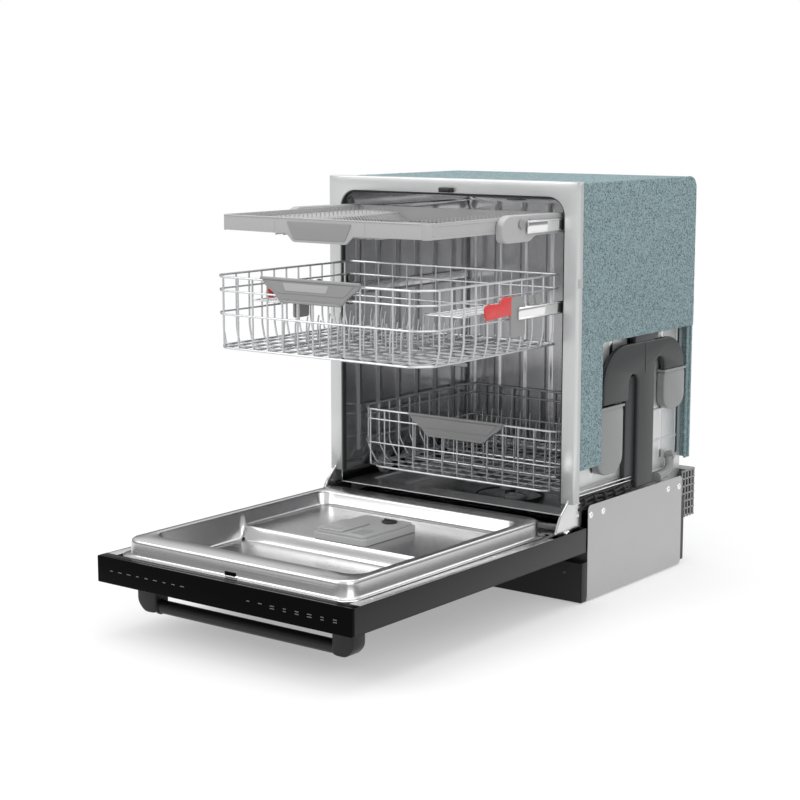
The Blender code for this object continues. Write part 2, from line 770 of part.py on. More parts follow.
def make_height_lever(side, hand, parent):
    """The red lever beside a rail that lets the upper rack up and down."""
    pivot_y, pivot_z = -148.0, 592.0
    axis = empty_at("height_lever_%s_axis" % hand, side * 259, pivot_y, pivot_z, parent)
    outline = [(-246, 601), (-198, 604), (-186, 616), (-140, 614)]
    outline += [(-132, 566), (-148, 564), (-168, 582), (-240, 577)]
    lever = plate(outline, "X", *sorted((side * 257.4, side * 261.8)))
    node(lever, "height_lever_" + hand, RED_PLASTIC, axis)


def make_cup_shelf(side, hand, parent):
    """A folding cup shelf along the side of the upper rack, lying flat."""
    hinge_x, hinge_z = 248.0, 588.0
    axis = empty_at("cup_shelf_%s_axis" % hand, side * hinge_x, -180, hinge_z, parent)
    shelf = block(sorted((side * 158, side * (hinge_x + 1.5))), (-300, -60), (hinge_z - 1.5, hinge_z + 1.5))
    middle_low, middle_high = 168, 238
    windows = [
        block(sorted((side * middle_low, side * middle_high)), (low, low + 50), (hinge_z - 10, hinge_z + 10))
        for low in (-290, -232, -174, -116)
    ]
    cut(shelf, *windows)
    node(shelf, "cup_shelf_" + hand, GREY_PLASTIC, axis)


def make_third_rack():
    rear = TUB_BACK - THIRD_TRAVEL - 1.0
    run_axis = runner("third_runner", rear, THIRD_RAIL_LOW, THIRD_RAIL_HIGH, MACHINE)
    axis = empty_at("third_rack_axis", 0, THIRD_FRONT, THIRD_LOW, run_axis)
    back_clearance = 1.5
    half, front, back, wall = THIRD_HALF, THIRD_FRONT, THIRD_FRONT + RACK_DEPTH - back_clearance, 3.0
    at_front = lambda middle: middle.y < 0
    frame = round_block((-half, half), (front, back), (THIRD_LOW, THIRD_TOP), "Z", 10.0, 1, keep=at_front)
    inside = round_block(
        (-half + wall, half - wall), (front + wall, back - wall), (THIRD_LOW - 5, THIRD_TOP + 5),
        "Z", 9.0, 1, keep=at_front,
    )
    cut(frame, inside)
    right = [(62, 714), (78, THIRD_LOW + 2), (106, THIRD_TOP - 2)]
    grip = plate(right + [(-x, z) for x, z in reversed(right)], "Y", front - 4, front + wall)
    lobes = [
        round_block(sorted((side * (half - 1.5), side * 261.8)), (-187, back), (714, THIRD_TOP), "X", 12.0, 3)
        for side in (-1, 1)
    ]
    join(frame, grip, *lobes)
    node(frame, "third_rack_frame", GREY_PLASTIC, axis)

    make_cutlery_tray(axis)
    for side, hand in ((-1, "left"), (1, "right")):
        rack_rail(
            "third_rail_" + hand, side, -150, rear, THIRD_RAIL_LOW, THIRD_RAIL_HIGH,
            ((-150, -120), (722, 756)), axis,
        )


def make_cutlery_tray(axis):
    """The perforated tray: raised sides, and a lower middle between them."""
    half = THIRD_HALF - 5.5
    columns, rows = 10, 8
    front, back = THIRD_FRONT + 15.0, THIRD_FRONT + RACK_DEPTH - 7.5
    across = even_steps(-half, half, columns)
    along = even_steps(front, back, rows)
    work = bmesh.new()
    bmesh.ops.create_grid(work, x_segments=columns, y_segments=rows, size=0.5)
    for vert in work.verts:
        x = across[round((vert.co.x + 0.5) * columns)]
        y = along[round((vert.co.y + 0.5) * rows)]
        z = 727.0 if abs(x) < 0.45 * half else 748.0
        vert.co = (x * MM, y * MM, z * MM)
    tray = mesh_object(work)
    wires = tray.modifiers.new("Wires", "WIREFRAME")
    wires.thickness = WIRE * MM
    wires.use_even_offset = False
    wires.use_boundary = True
    wires.use_replace = True
    node(tray, "cutlery_tray", PALE_PLASTIC, axis)


def make_lower_rack():
    axis = empty_at("lower_rack_axis", 0, LOWER_FRONT, LOWER_FLOOR, MACHINE)
    levels = ((LOWER_FLOOR, 0), (246, 1), (290, 1), (LOWER_TOP, 1))
    basket = wire_basket(LOWER_HALF, LOWER_FLOOR_HALF, LOWER_FRONT, LOWER_DEPTH, levels, 6, 6)
    axle_z = LEDGE_TOP + GAP + WHEEL_RADIUS
    legs = [
        block(
            sorted((side * 234, side * 240)),
            (LOWER_FRONT + offset - 7, LOWER_FRONT + offset + 7),
            (axle_z - 6, 217),
        )
        for side in (-1, 1)
        for offset in WHEEL_OFFSETS
    ]
    join(basket, *legs)
    for union in basket.modifiers:
        if union.type == "BOOLEAN":
            union.use_self = True
    node(basket, "lower_basket", WIRE_COAT, axis)
    rack_handle("lower_handle", LOWER_FRONT, 294, GREY_PLASTIC, axis)
    make_tines(axis)
    for side, hand in ((-1, "left"), (1, "right")):
        for place, offset in zip(("front", "middle", "rear"), WHEEL_OFFSETS):
            name = "wheel_%s_%s" % (hand, place)
            y = LOWER_FRONT + offset
            wheel_axis = empty_at(name + "_axis", side * 252, y, axle_z, axis)
            wheel = cylinder((side * 252, y, axle_z), WHEEL_RADIUS, 11, "X", 20)
            node(wheel, name, GREY_PLASTIC, wheel_axis)


def make_tines(parent):
    """The folding plate tines of the lower rack: a comb about the rod at its foot."""
    rod_y, rod_z = 250.0, 222.0
    reach, foot, thick = 84.0, 2.2, 4.4
    half, count = 180.0, 9
    pitch = 2 * (half - 4) / (count - 1)
    axis = empty_at("plate_tines_axis", 0, rod_y, rod_z, parent)
    outline = [(-half, rod_z - foot), (half, rod_z - foot), (half, rod_z + foot)]
    for index in range(count - 1, -1, -1):
        middle = -half + 4 + pitch * index
        outline += [(middle + 2.2, rod_z + foot), (middle + 2.2, rod_z + reach)]
        outline += [(middle - 2.2, rod_z + reach), (middle - 2.2, rod_z + foot)]
    outline = outline[:2] + outline[3:-1] + [(-half, rod_z + foot)]
    tines = plate(tidy_outline(outline), "Y", rod_y - thick / 2, rod_y + thick / 2)
    node(tines, "plate_tines", WIRE_COAT, axis)


def tidy_outline(points):
    """Drops each point that repeats the one before it."""
    found = []
    for point in points:
        if not found or math.dist(point, found[-1]) > 0.01:
            found.append(point)
    return found


# ---------------------------------------------------------------- assembly


def main():
    make_tub()
    make_front_frame()
    make_seal()
    make_insulation()
    make_base()
    make_feet()
    make_wet_parts()
    make_air_breaker()
    make_hinge_plates()
    make_striker()
    make_guides()
    spray_arm("lower_spray_arm", 0, SUMP_Y, 162, 165, 160 + GAP, 176, GREY_PLASTIC, MACHINE)
    spray_arm("top_spray_arm", 0, 245, 768, 150, 766, TUB_TOP - GAP, GREY_PLASTIC, MACHINE)
    make_door()
    make_upper_rack()
    make_third_rack()
    make_lower_rack()
    MACHINE.location.y = MACHINE_SHIFT * MM


clear_scene()
PARTS = new_collection("built_in_dishwasher")
CUTTERS = new_collection("cutters")
MACHINE = empty_at("machine", 0, 0, 0)
main()
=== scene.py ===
"""Looks for the built-in dishwasher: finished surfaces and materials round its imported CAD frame.

Lengths in the shapes below are in millimetres in the row frame, and Shape.build turns them into
metres. Where a size belongs to the frame it is read off the CAD node's box.
"""

import json
import logging
import math
from collections.abc import Sequence
from dataclasses import dataclass
from enum import Enum

import bpy
import numpy as np
from mathutils import Euler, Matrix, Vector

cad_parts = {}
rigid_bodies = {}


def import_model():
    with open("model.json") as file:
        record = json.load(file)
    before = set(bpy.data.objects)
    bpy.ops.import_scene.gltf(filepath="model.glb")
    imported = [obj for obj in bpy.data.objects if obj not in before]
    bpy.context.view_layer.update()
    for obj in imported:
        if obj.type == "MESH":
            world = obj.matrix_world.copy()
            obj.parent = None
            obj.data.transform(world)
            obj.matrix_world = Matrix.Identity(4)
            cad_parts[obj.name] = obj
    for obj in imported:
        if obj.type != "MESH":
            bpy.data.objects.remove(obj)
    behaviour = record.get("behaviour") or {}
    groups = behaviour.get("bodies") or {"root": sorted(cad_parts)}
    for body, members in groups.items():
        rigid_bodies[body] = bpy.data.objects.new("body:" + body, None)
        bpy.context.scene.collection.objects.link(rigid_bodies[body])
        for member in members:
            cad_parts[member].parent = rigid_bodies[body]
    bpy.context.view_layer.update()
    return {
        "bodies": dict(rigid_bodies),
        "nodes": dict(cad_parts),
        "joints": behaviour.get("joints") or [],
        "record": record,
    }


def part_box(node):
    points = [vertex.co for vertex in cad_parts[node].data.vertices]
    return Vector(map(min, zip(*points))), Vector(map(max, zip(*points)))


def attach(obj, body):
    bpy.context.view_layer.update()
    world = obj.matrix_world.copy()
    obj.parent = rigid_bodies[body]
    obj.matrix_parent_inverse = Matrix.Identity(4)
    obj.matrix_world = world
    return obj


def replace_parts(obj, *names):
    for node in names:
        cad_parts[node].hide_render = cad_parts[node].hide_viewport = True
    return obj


logging.basicConfig(level=logging.INFO, format="%(message)s")
log = logging.getLogger("dishwasher")

# What a math node takes: a socket to link from, or a number.
Operand = bpy.types.NodeSocket | float

MM = 0.001
# The dome of a screw head that lies level with its sheet, as a share of its radius.
FLUSH = 0.05
# How far the tub's side ribs are pressed out, and the radius of its upright rear corners.
OUTWARD_RIB = 1.5
REAR_CORNER = 14.0
# What a rack rail's rear end gives up to clear those corners.
RAIL_CUT = 16.0
# A stretch of the liner's outline longer than this takes this many points.
STRAIGHT_SIDE = 100.0
STRAIGHT_POINTS = 80
SIDES = ((-1, "left"), (1, "right"))


# ---------------------------------------------------------------- measures


@dataclass(frozen=True)
class Box:
    """The box of a CAD node, in millimetres."""

    x0: float
    y0: float
    z0: float
    x1: float
    y1: float
    z1: float

    @classmethod
    def of(cls, node: str) -> "Box":
        """Reads the node's box off the frame."""
        low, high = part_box(node)
        return cls(*[value / MM for value in (*low, *high)])

    def middle(self) -> np.ndarray:
        """The box's centre point."""
        return np.array([self.x0 + self.x1, self.y0 + self.y1, self.z0 + self.z1]) / 2


# ---------------------------------------------------------------- materials


class Pattern(Enum):
    """What varies over a finish."""

    BRUSHED_X = "brushed_x"
    BRUSHED_Z = "brushed_z"
    GRAIN = "grain"
    POLISH = "polish"
    FELT = "felt"
    CAST = "cast"


def add_socket(
    tree: bpy.types.NodeTree, name: str, way: str, kind: str, default: object = None
) -> bpy.types.NodeTreeInterfaceSocket:
    """Adds one socket to a node group's interface.

    Args:
        tree: The node group.
        name: The socket's name.
        way: INPUT or OUTPUT.
        kind: The socket type's name, such as NodeSocketFloat.
        default: The value it starts at, for an input.
    """
    socket = tree.interface.new_socket(name, in_out=way, socket_type=kind)
    if default is not None:
        socket.default_value = default
    return socket


class EffectGroup:
    """A shader node group that turns a colour and a roughness into varied ones and a height."""

    def __init__(self, name: str, stretch: tuple, scale: float) -> None:
        """Starts a node group with its inputs, outputs and pattern coordinates."""
        self.tree = bpy.data.node_groups.new(name, "ShaderNodeTree")
        add_socket(self.tree, "Colour", "INPUT", "NodeSocketColor", (0.5, 0.5, 0.5, 1.0))
        add_socket(self.tree, "Roughness", "INPUT", "NodeSocketFloat", 0.4)
        add_socket(self.tree, "Spread", "INPUT", "NodeSocketFloat", 0.1)
        add_socket(self.tree, "Colour", "OUTPUT", "NodeSocketColor")
        add_socket(self.tree, "Roughness", "OUTPUT", "NodeSocketFloat")
        add_socket(self.tree, "Height", "OUTPUT", "NodeSocketFloat")
        self.inputs = self.tree.nodes.new("NodeGroupInput")
        self.outputs = self.tree.nodes.new("NodeGroupOutput")
        coordinate = self.tree.nodes.new("ShaderNodeTexCoord")
        mapping = self.tree.nodes.new("ShaderNodeMapping")
        mapping.inputs["Scale"].default_value = stretch
        self.link(coordinate.outputs["Object"], mapping.inputs["Vector"])
        self.noise = self.tree.nodes.new("ShaderNodeTexNoise")
        self.noise.inputs["Scale"].default_value = scale
        self.noise.inputs["Detail"].default_value = 4.0
        self.link(mapping.outputs["Vector"], self.noise.inputs["Vector"])
        self.mapping = mapping

    def link(self, start: bpy.types.NodeSocket, end: bpy.types.NodeSocket) -> None:
        """Joins two sockets."""
        self.tree.links.new(start, end)

    def math(self, operation: str, first: Operand, second: Operand) -> bpy.types.NodeSocket:
        """A Math node's output; each operand is a socket or a number."""
        node = self.tree.nodes.new("ShaderNodeMath")
        node.operation = operation
        for socket, value in zip(node.inputs, (first, second)):
            if isinstance(value, (int, float)):
                socket.default_value = value
            else:
                self.link(value, socket)
        return node.outputs["Value"]

    def finish_plain(self) -> None:
        """The noise moves the roughness and the colour's brightness by the spread, about zero."""
        centred = self.math("SUBTRACT", self.noise.outputs["Fac"], 0.5)
        swing = self.math("MULTIPLY", centred, self.inputs.outputs["Spread"])
        rough = self.math("ADD", self.inputs.outputs["Roughness"], swing)
        bright = self.tree.nodes.new("ShaderNodeHueSaturation")
        self.link(self.math("ADD", swing, 1.0), bright.inputs["Value"])
        self.link(self.inputs.outputs["Colour"], bright.inputs["Color"])
        self.link(bright.outputs["Color"], self.outputs.inputs["Colour"])
        self.link(rough, self.outputs.inputs["Roughness"])
        self.link(self.noise.outputs["Fac"], self.outputs.inputs["Height"])

    def finish_felt(self) -> None:
        """Flecks of pale and dark fibre over the colour, with a fibrous height."""
        fleck = self.tree.nodes.new("ShaderNodeTexVoronoi")
        fleck.inputs["Scale"].default_value = 330.0
        self.link(self.mapping.outputs["Vector"], fleck.inputs["Vector"])
        ramp = self.tree.nodes.new("ShaderNodeValToRGB")
        ramp.color_ramp.elements[0].position = 0.36
        ramp.color_ramp.elements[0].color = (0.030, 0.065, 0.075, 1.0)
        ramp.color_ramp.elements[1].position = 0.56
        ramp.color_ramp.elements[1].color = (0.31, 0.41, 0.43, 1.0)
        self.link(self.noise.outputs["Fac"], ramp.inputs["Fac"])
        mix = self.tree.nodes.new("ShaderNodeMix")
        mix.data_type = "RGBA"
        mix.inputs[0].default_value = 0.80
        self.link(self.inputs.outputs["Colour"], mix.inputs[6])
        self.link(ramp.outputs["Color"], mix.inputs[7])
        self.link(mix.outputs[2], self.outputs.inputs["Colour"])
        self.link(self.inputs.outputs["Roughness"], self.outputs.inputs["Roughness"])
        height = self.math("ADD", self.noise.outputs["Fac"], fleck.outputs["Distance"])
        self.link(height, self.outputs.inputs["Height"])


class Effects:
    """Every effect group of the scene, made once."""

    LOOKS = {
        Pattern.BRUSHED_X: ("brushed across", (3.0, 260.0, 260.0), 2.0),
        Pattern.BRUSHED_Z: ("brushed up", (260.0, 260.0, 3.0), 2.0),
        Pattern.GRAIN: ("moulded grain", (1.0, 1.0, 1.0), 900.0),
        Pattern.POLISH: ("polished unevenness", (1.0, 1.0, 1.0), 14.0),
        Pattern.FELT: ("needled felt", (1.0, 1.0, 1.0), 420.0),
        Pattern.CAST: ("rough casting", (1.0, 1.0, 1.0), 300.0),
    }

    def __init__(self) -> None:
        """Makes each pattern's group."""
        self.groups = {}
        for pattern, (name, stretch, scale) in self.LOOKS.items():
            group = EffectGroup(name, stretch, scale)
            if pattern is Pattern.FELT:
                group.finish_felt()
            else:
                group.finish_plain()
            self.groups[pattern] = group.tree


@dataclass(frozen=True)
class Finish:
    """A Principled material with one effect."""

    name: str
    colour: tuple
    roughness: float
    metallic: float = 0.0
    pattern: Pattern = Pattern.GRAIN
    spread: float = 0.10
    bump: float = 0.15
    depth: float = 0.0001
    coat: float = 0.0
    transmission: float = 0.0
    specular: float = 0.5

    def material(self, effects: Effects) -> bpy.types.Material:
        """Builds the material's nodes."""
        made = bpy.data.materials.new(self.name)
        made.use_nodes = True
        tree = made.node_tree
        shader = tree.nodes["Principled BSDF"]
        group = tree.nodes.new("ShaderNodeGroup")
        group.node_tree = effects.groups[self.pattern]
        group.inputs["Colour"].default_value = (*self.colour, 1.0)
        group.inputs["Roughness"].default_value = self.roughness
        group.inputs["Spread"].default_value = self.spread
        bump = tree.nodes.new("ShaderNodeBump")
        bump.inputs["Strength"].default_value = self.bump
        bump.inputs["Distance"].default_value = self.depth
        shader.inputs["Metallic"].default_value = self.metallic
        shader.inputs["Coat Weight"].default_value = self.coat
        shader.inputs["Transmission Weight"].default_value = self.transmission
        shader.inputs["Specular IOR Level"].default_value = self.specular
        tree.links.new(group.outputs["Colour"], shader.inputs["Base Color"])
        tree.links.new(group.outputs["Roughness"], shader.inputs["Roughness"])
        tree.links.new(group.outputs["Height"], bump.inputs["Height"])
        tree.links.new(bump.outputs["Normal"], shader.inputs["Normal"])
        return made


FINISHES = (
    Finish("polished steel", (0.60, 0.60, 0.61), 0.16, 1.0, Pattern.BRUSHED_Z, 0.10, 0.05),
    Finish("satin steel", (0.68, 0.68, 0.68), 0.24, 1.0, Pattern.BRUSHED_X, 0.14, 0.06),
    Finish("coated sheet", (0.66, 0.67, 0.67), 0.36, 0.55, Pattern.POLISH, 0.10, 0.05),
    Finish("side cover", (0.46, 0.46, 0.46), 0.42, 0.35, Pattern.POLISH, 0.08, 0.04),
    Finish("chrome", (0.86, 0.86, 0.86), 0.10, 1.0, Pattern.POLISH, 0.05, 0.03),
    Finish("coated wire", (0.56, 0.57, 0.58), 0.26, 0.7, Pattern.GRAIN, 0.08, 0.05, coat=0.3),
    Finish("grey plastic", (0.27, 0.27, 0.27), 0.42, 0.0, Pattern.GRAIN, 0.10, 0.12),
    Finish("light grey plastic", (0.40, 0.40, 0.405), 0.40, 0.0, Pattern.GRAIN, 0.08, 0.10),
    Finish("tank plastic", (0.21, 0.215, 0.215), 0.30, 0.0, Pattern.POLISH, 0.10, 0.10, coat=0.3),
    Finish("dark plastic", (0.030, 0.031, 0.033), 0.42, 0.0, Pattern.GRAIN, 0.14, 0.15),
    Finish("black paint", (0.012, 0.012, 0.013), 0.34, 0.0, Pattern.GRAIN, 0.12, 0.05, specular=0.30),
    Finish("gloss black", (0.002, 0.002, 0.0022), 0.10, 0.0, Pattern.POLISH, 0.03, 0.01, specular=0.03),
    Finish("black rubber", (0.018, 0.018, 0.018), 0.60, 0.0, Pattern.GRAIN, 0.12, 0.2),
    Finish("red plastic", (0.62, 0.045, 0.045), 0.34, 0.0, Pattern.GRAIN, 0.08, 0.08, coat=0.2),
    Finish("felt", (0.15, 0.23, 0.245), 0.95, 0.0, Pattern.FELT, 0.10, 0.9, 0.0012),
    Finish("cast iron", (0.16, 0.15, 0.145), 0.70, 0.3, Pattern.CAST, 0.15, 0.5, 0.0006),
    Finish("mark white", (0.20, 0.205, 0.21), 0.50, 0.0, Pattern.GRAIN, 0.02, 0.02),
    Finish("floor", (0.93, 0.93, 0.93), 0.60, 0.0, Pattern.POLISH, 0.02, 0.0),
)


class Palette:
    """The materials, by the names of their finishes."""

    def __init__(self) -> None:
        """Makes one material for each finish."""
        effects = Effects()
        self.made = {finish.name: finish.material(effects) for finish in FINISHES}

    def __getitem__(self, name: str) -> bpy.types.Material:
        """The material of a finish, by the finish's name."""
        return self.made[name]


# ---------------------------------------------------------------- surfaces


def grid_faces(rows: int, columns: int, wrap: bool) -> np.ndarray:
    """Quads of a grid of points in row order; wrap joins each row's end to its start."""
    across = np.arange(columns if wrap else columns - 1)
    down = np.arange(rows - 1)[:, None]
    after = (across + 1) % columns
    first = down * columns + across
    second = down * columns + after
    return np.stack([first, second, second + columns, first + columns], axis=-1).reshape(-1, 4)


def fillet(corners: Sequence, radius: float, steps: int = 5, closed: bool = False) -> np.ndarray:
    """The path through the corners with each one rounded.

    Each corner P between neighbours A and B is replaced by the quadratic curve from P + (A-P)u to
    P + (B-P)v with P as its control point, where u and v keep the curve within the radius and
    within half of each side.
    """
    points = np.asarray(corners, float)
    count = len(points)
    blend = np.linspace(0, 1, steps + 1)[:, None]
    pieces = []
    for index, corner in enumerate(points):
        if not closed and index in (0, count - 1):
            pieces.append(corner[None])
            continue
        before = points[index - 1] - corner
        after = points[(index + 1) % count] - corner
        start = corner + before * min(0.5, radius / max(np.linalg.norm(before), 1e-9))
        end = corner + after * min(0.5, radius / max(np.linalg.norm(after), 1e-9))
        pieces.append((1 - blend) ** 2 * start + 2 * blend * (1 - blend) * corner + blend**2 * end)
    return np.concatenate(pieces)


def rounded_rectangle(
    x0: float, x1: float, y0: float, y1: float, radius: float, steps: int = 8
) -> np.ndarray:
    """A loop of points round a rectangle whose corners are quarter circles, anticlockwise."""
    angles = np.linspace(0, math.pi / 2, steps + 1)
    centres = (
        (x1 - radius, y1 - radius), (x0 + radius, y1 - radius), (x0 + radius, y0 + radius),
        (x1 - radius, y0 + radius)
    )
    arcs = []
    for quarter, (x, y) in enumerate(centres):
        turn = angles + quarter * math.pi / 2
        arcs.append(np.stack([x + radius * np.cos(turn), y + radius * np.sin(turn)], axis=1))
    return np.concatenate(arcs)


def to_axis(flat: np.ndarray, depth: np.ndarray, axis: str) -> np.ndarray:
    """Points from a flat outline and a depth along an axis, in the order of the CAD's plates."""
    first, second = flat[..., 0], flat[..., 1]
    depth = np.broadcast_to(depth, first.shape)
    order = {"X": (depth, first, second), "Y": (first, depth, second), "Z": (first, second, depth)}
    return np.stack(order[axis], axis=-1)


class Shape:
    """Gathers surfaces and becomes one mesh object."""

    def __init__(self) -> None:
        """Starts with no points and no faces."""
        self.points = []
        self.faces = []
        self.count = 0

    def add(self, points: np.ndarray, faces: Sequence) -> "Shape":
        """Adds points of any grid shape, with faces that index them."""
        flat = np.asarray(points, float).reshape(-1, 3)
        self.points.append(flat)
        self.faces += [tuple(int(index) + self.count for index in face) for face in faces]
        self.count += len(flat)
        return self

    def sheet(self, grid: np.ndarray, wrap: bool = False) -> "Shape":
        """A surface through a grid of points of shape (rows, columns, 3)."""
        rows, columns = grid.shape[:2]
        return self.add(grid, grid_faces(rows, columns, wrap))

    def skin(self, rings: np.ndarray) -> "Shape":
        """A closed body through rings of points, its two ends capped."""
        rows, columns = rings.shape[:2]
        faces = list(grid_faces(rows, columns, True))
        faces.append(range(columns - 1, -1, -1))
        faces.append(range((rows - 1) * columns, rows * columns))
        return self.add(rings, faces)

    def slab(self, outline: Sequence, axis: str, low: float, high: float, edge: float = 0.8) -> "Shape":
        """A plate with rounded edges.

        The outline is drawn in by edge * (1 - sin a) at height edge * (1 - cos a) from each face,
        for a from 0 to a quarter turn, along its mitred corner normals.
        """
        flat = np.asarray(outline, float)
        area = np.sum(flat[:, 0] * np.roll(flat[:, 1], -1) - np.roll(flat[:, 0], -1) * flat[:, 1])
        if area < 0:
            flat = flat[::-1]
        before = flat - np.roll(flat, 1, axis=0)
        after = np.roll(flat, -1, axis=0) - flat
        normals = [np.stack([way[:, 1], -way[:, 0]], axis=1) for way in (before, after)]
        normals = [way / np.maximum(np.linalg.norm(way, axis=1), 1e-9)[:, None] for way in normals]
        mitre = normals[0] + normals[1]
        mitre = mitre / np.maximum(np.sum(mitre * normals[0], axis=1), 0.35)[:, None]
        turn = np.linspace(0, math.pi / 2, 4)
        inset = edge * (1 - np.sin(turn))
        rise = edge * (1 - np.cos(turn))
        insets = np.concatenate([inset, inset[::-1]])
        depths = np.concatenate([low + rise, (high - rise)[::-1]])
        rings = flat[None] - mitre[None] * insets[:, None, None]
        body = to_axis(rings, depths[:, None], axis)
        if axis == "Y":
            body = body[::-1]
        return self.skin(body)

    def bar(self, x: Sequence, y: Sequence, z: Sequence, edge: float = 0.8) -> "Shape":
        """A box with rounded edges between (low, high) pairs."""
        (x0, x1), (y0, y1), (z0, z1) = sorted(x), sorted(y), sorted(z)
        edge = min(edge, (z1 - z0) / 2.2, (x1 - x0) / 2.2, (y1 - y0) / 2.2)
        return self.slab(rounded_rectangle(x0, x1, y0, y1, edge, 3), "Z", z0, z1, edge)

    def tube(
        self, path: Sequence, radius: float, normal: Sequence = (0, 0, 1),
        sides: int = 8, closed: bool = False,
    ) -> "Shape":
        """A round wire along a path.

        Ring k lies in the plane of N = the part of normal square to the tangent T, and of T x N:
        P(k) + r (N cos a + (T x N) sin a).
        """
        points = np.asarray(path, float)
        if closed:
            tangent = np.roll(points, -1, axis=0) - np.roll(points, 1, axis=0)
        else:
            tangent = np.gradient(points, axis=0)
        tangent /= np.maximum(np.linalg.norm(tangent, axis=1), 1e-9)[:, None]
        upright = np.broadcast_to(np.asarray(normal, float), points.shape)
        upright = upright - tangent * np.sum(upright * tangent, axis=1)[:, None]
        upright = upright / np.maximum(np.linalg.norm(upright, axis=1), 1e-9)[:, None]
        across = np.cross(tangent, upright)
        angle = np.linspace(0, 2 * math.pi, sides, endpoint=False)
        radii = np.broadcast_to(np.asarray(radius, float), (len(points),))[:, None, None]
        ring = upright[:, None] * np.cos(angle)[
            None, :, None
        ] + across[:, None] * np.sin(angle)[None, :, None]
        rings = points[:, None] + radii * ring
        if closed:
            return self.add(rings, grid_faces(len(points) + 1, sides, True) % (len(points) * sides))
        return self.skin(rings)

    def wire(self, start: Sequence, end: Sequence, radius: float, sides: int = 6) -> "Shape":
        """A straight wire."""
        way = np.abs(np.subtract(end, start))
        return self.tube([start, end], radius, np.eye(3)[int(np.argmin(way))], sides)

    def lathe(self, profile: Sequence, centre: Sequence, axis: str = "Z", steps: int = 32) -> "Shape":
        """A turned body: a profile of (radius, height) pairs spun about an axis through centre."""
        shape = np.asarray(profile, float)
        angle = np.linspace(0, 2 * math.pi, steps, endpoint=False)
        radius, height = np.maximum(shape[:, 0], 0.02)[:, None], shape[:, 1][:, None]
        first, second = radius * np.cos(angle), radius * np.sin(angle)
        height = np.broadcast_to(height, first.shape)
        order = {"X": (height, first, second), "Y": (second, height, first), "Z": (first, second, height)}
        rings = np.stack(order[axis], axis=-1) + np.asarray(centre, float)
        if height[-1, 0] < height[0, 0]:
            rings = rings[::-1]
        return self.skin(rings)

    def screw(
        self, centre: Sequence, axis: str, out: int, radius: float = 4.0, dome: float = 0.45
    ) -> "Shape":
        """A screw head with a dimple, standing out along axis by dome times its radius."""
        turn = np.linspace(0, math.pi / 2, 5)
        profile = np.stack([radius * np.sin(turn), out * radius * dome * np.cos(turn)], axis=1)
        profile = np.concatenate([[[radius * 0.35, out * radius * dome * 0.62]], profile])
        profile = np.concatenate([profile, [[radius, -out * 0.8]]])
        return self.lathe(profile, centre, axis, 16)

    def build(
        self, name: str, material: bpy.types.Material, body: str, sharp: float = 35.0
    ) -> bpy.types.Object:
        """Makes the object, shades it smooth but for edges sharper than the angle, and sets it on a body."""
        mesh = bpy.data.meshes.new(name)
        points = np.concatenate(self.points) * MM
        mesh.from_pydata(points.tolist(), [], self.faces)
        mesh.validate()
        mesh.shade_smooth()
        mesh.set_sharp_from_angle(angle=math.radians(sharp))
        mesh.materials.append(material)
        obj = bpy.data.objects.new(name, mesh)
        bpy.context.scene.collection.objects.link(obj)
        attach(obj, body)
        return obj


def thicken(obj: bpy.types.Object, thickness: float, offset: float = -1.0) -> bpy.types.Object:
    """Gives a sheet its thickness in millimetres."""
    solid = obj.modifiers.new("Sheet", "SOLIDIFY")
    solid.thickness = thickness * MM
    solid.offset = offset
    return obj


def dress(frame: dict, node: str, material: bpy.types.Material, bevel: float = 0.0) -> None:
    """Gives a CAD node its finish, and breaks its edges by bevel millimetres."""
    obj = frame["nodes"][node]
    for slot in obj.material_slots:
        slot.material = material
    if bevel:
        edges = obj.modifiers.new("Edges", "BEVEL")
        edges.width = bevel * MM
        edges.segments = 2
        edges.limit_method = "ANGLE"
        edges.angle_limit = math.radians(40)


@dataclass
class Assembly:
    """A sub-assembly: the frame and the palette it is built with."""

    frame: dict
    palette: Palette

    def build(self) -> None:
        """Makes the new pieces."""

    def dress(self) -> None:
        """Finishes the CAD nodes that stay."""


# ---------------------------------------------------------------- case


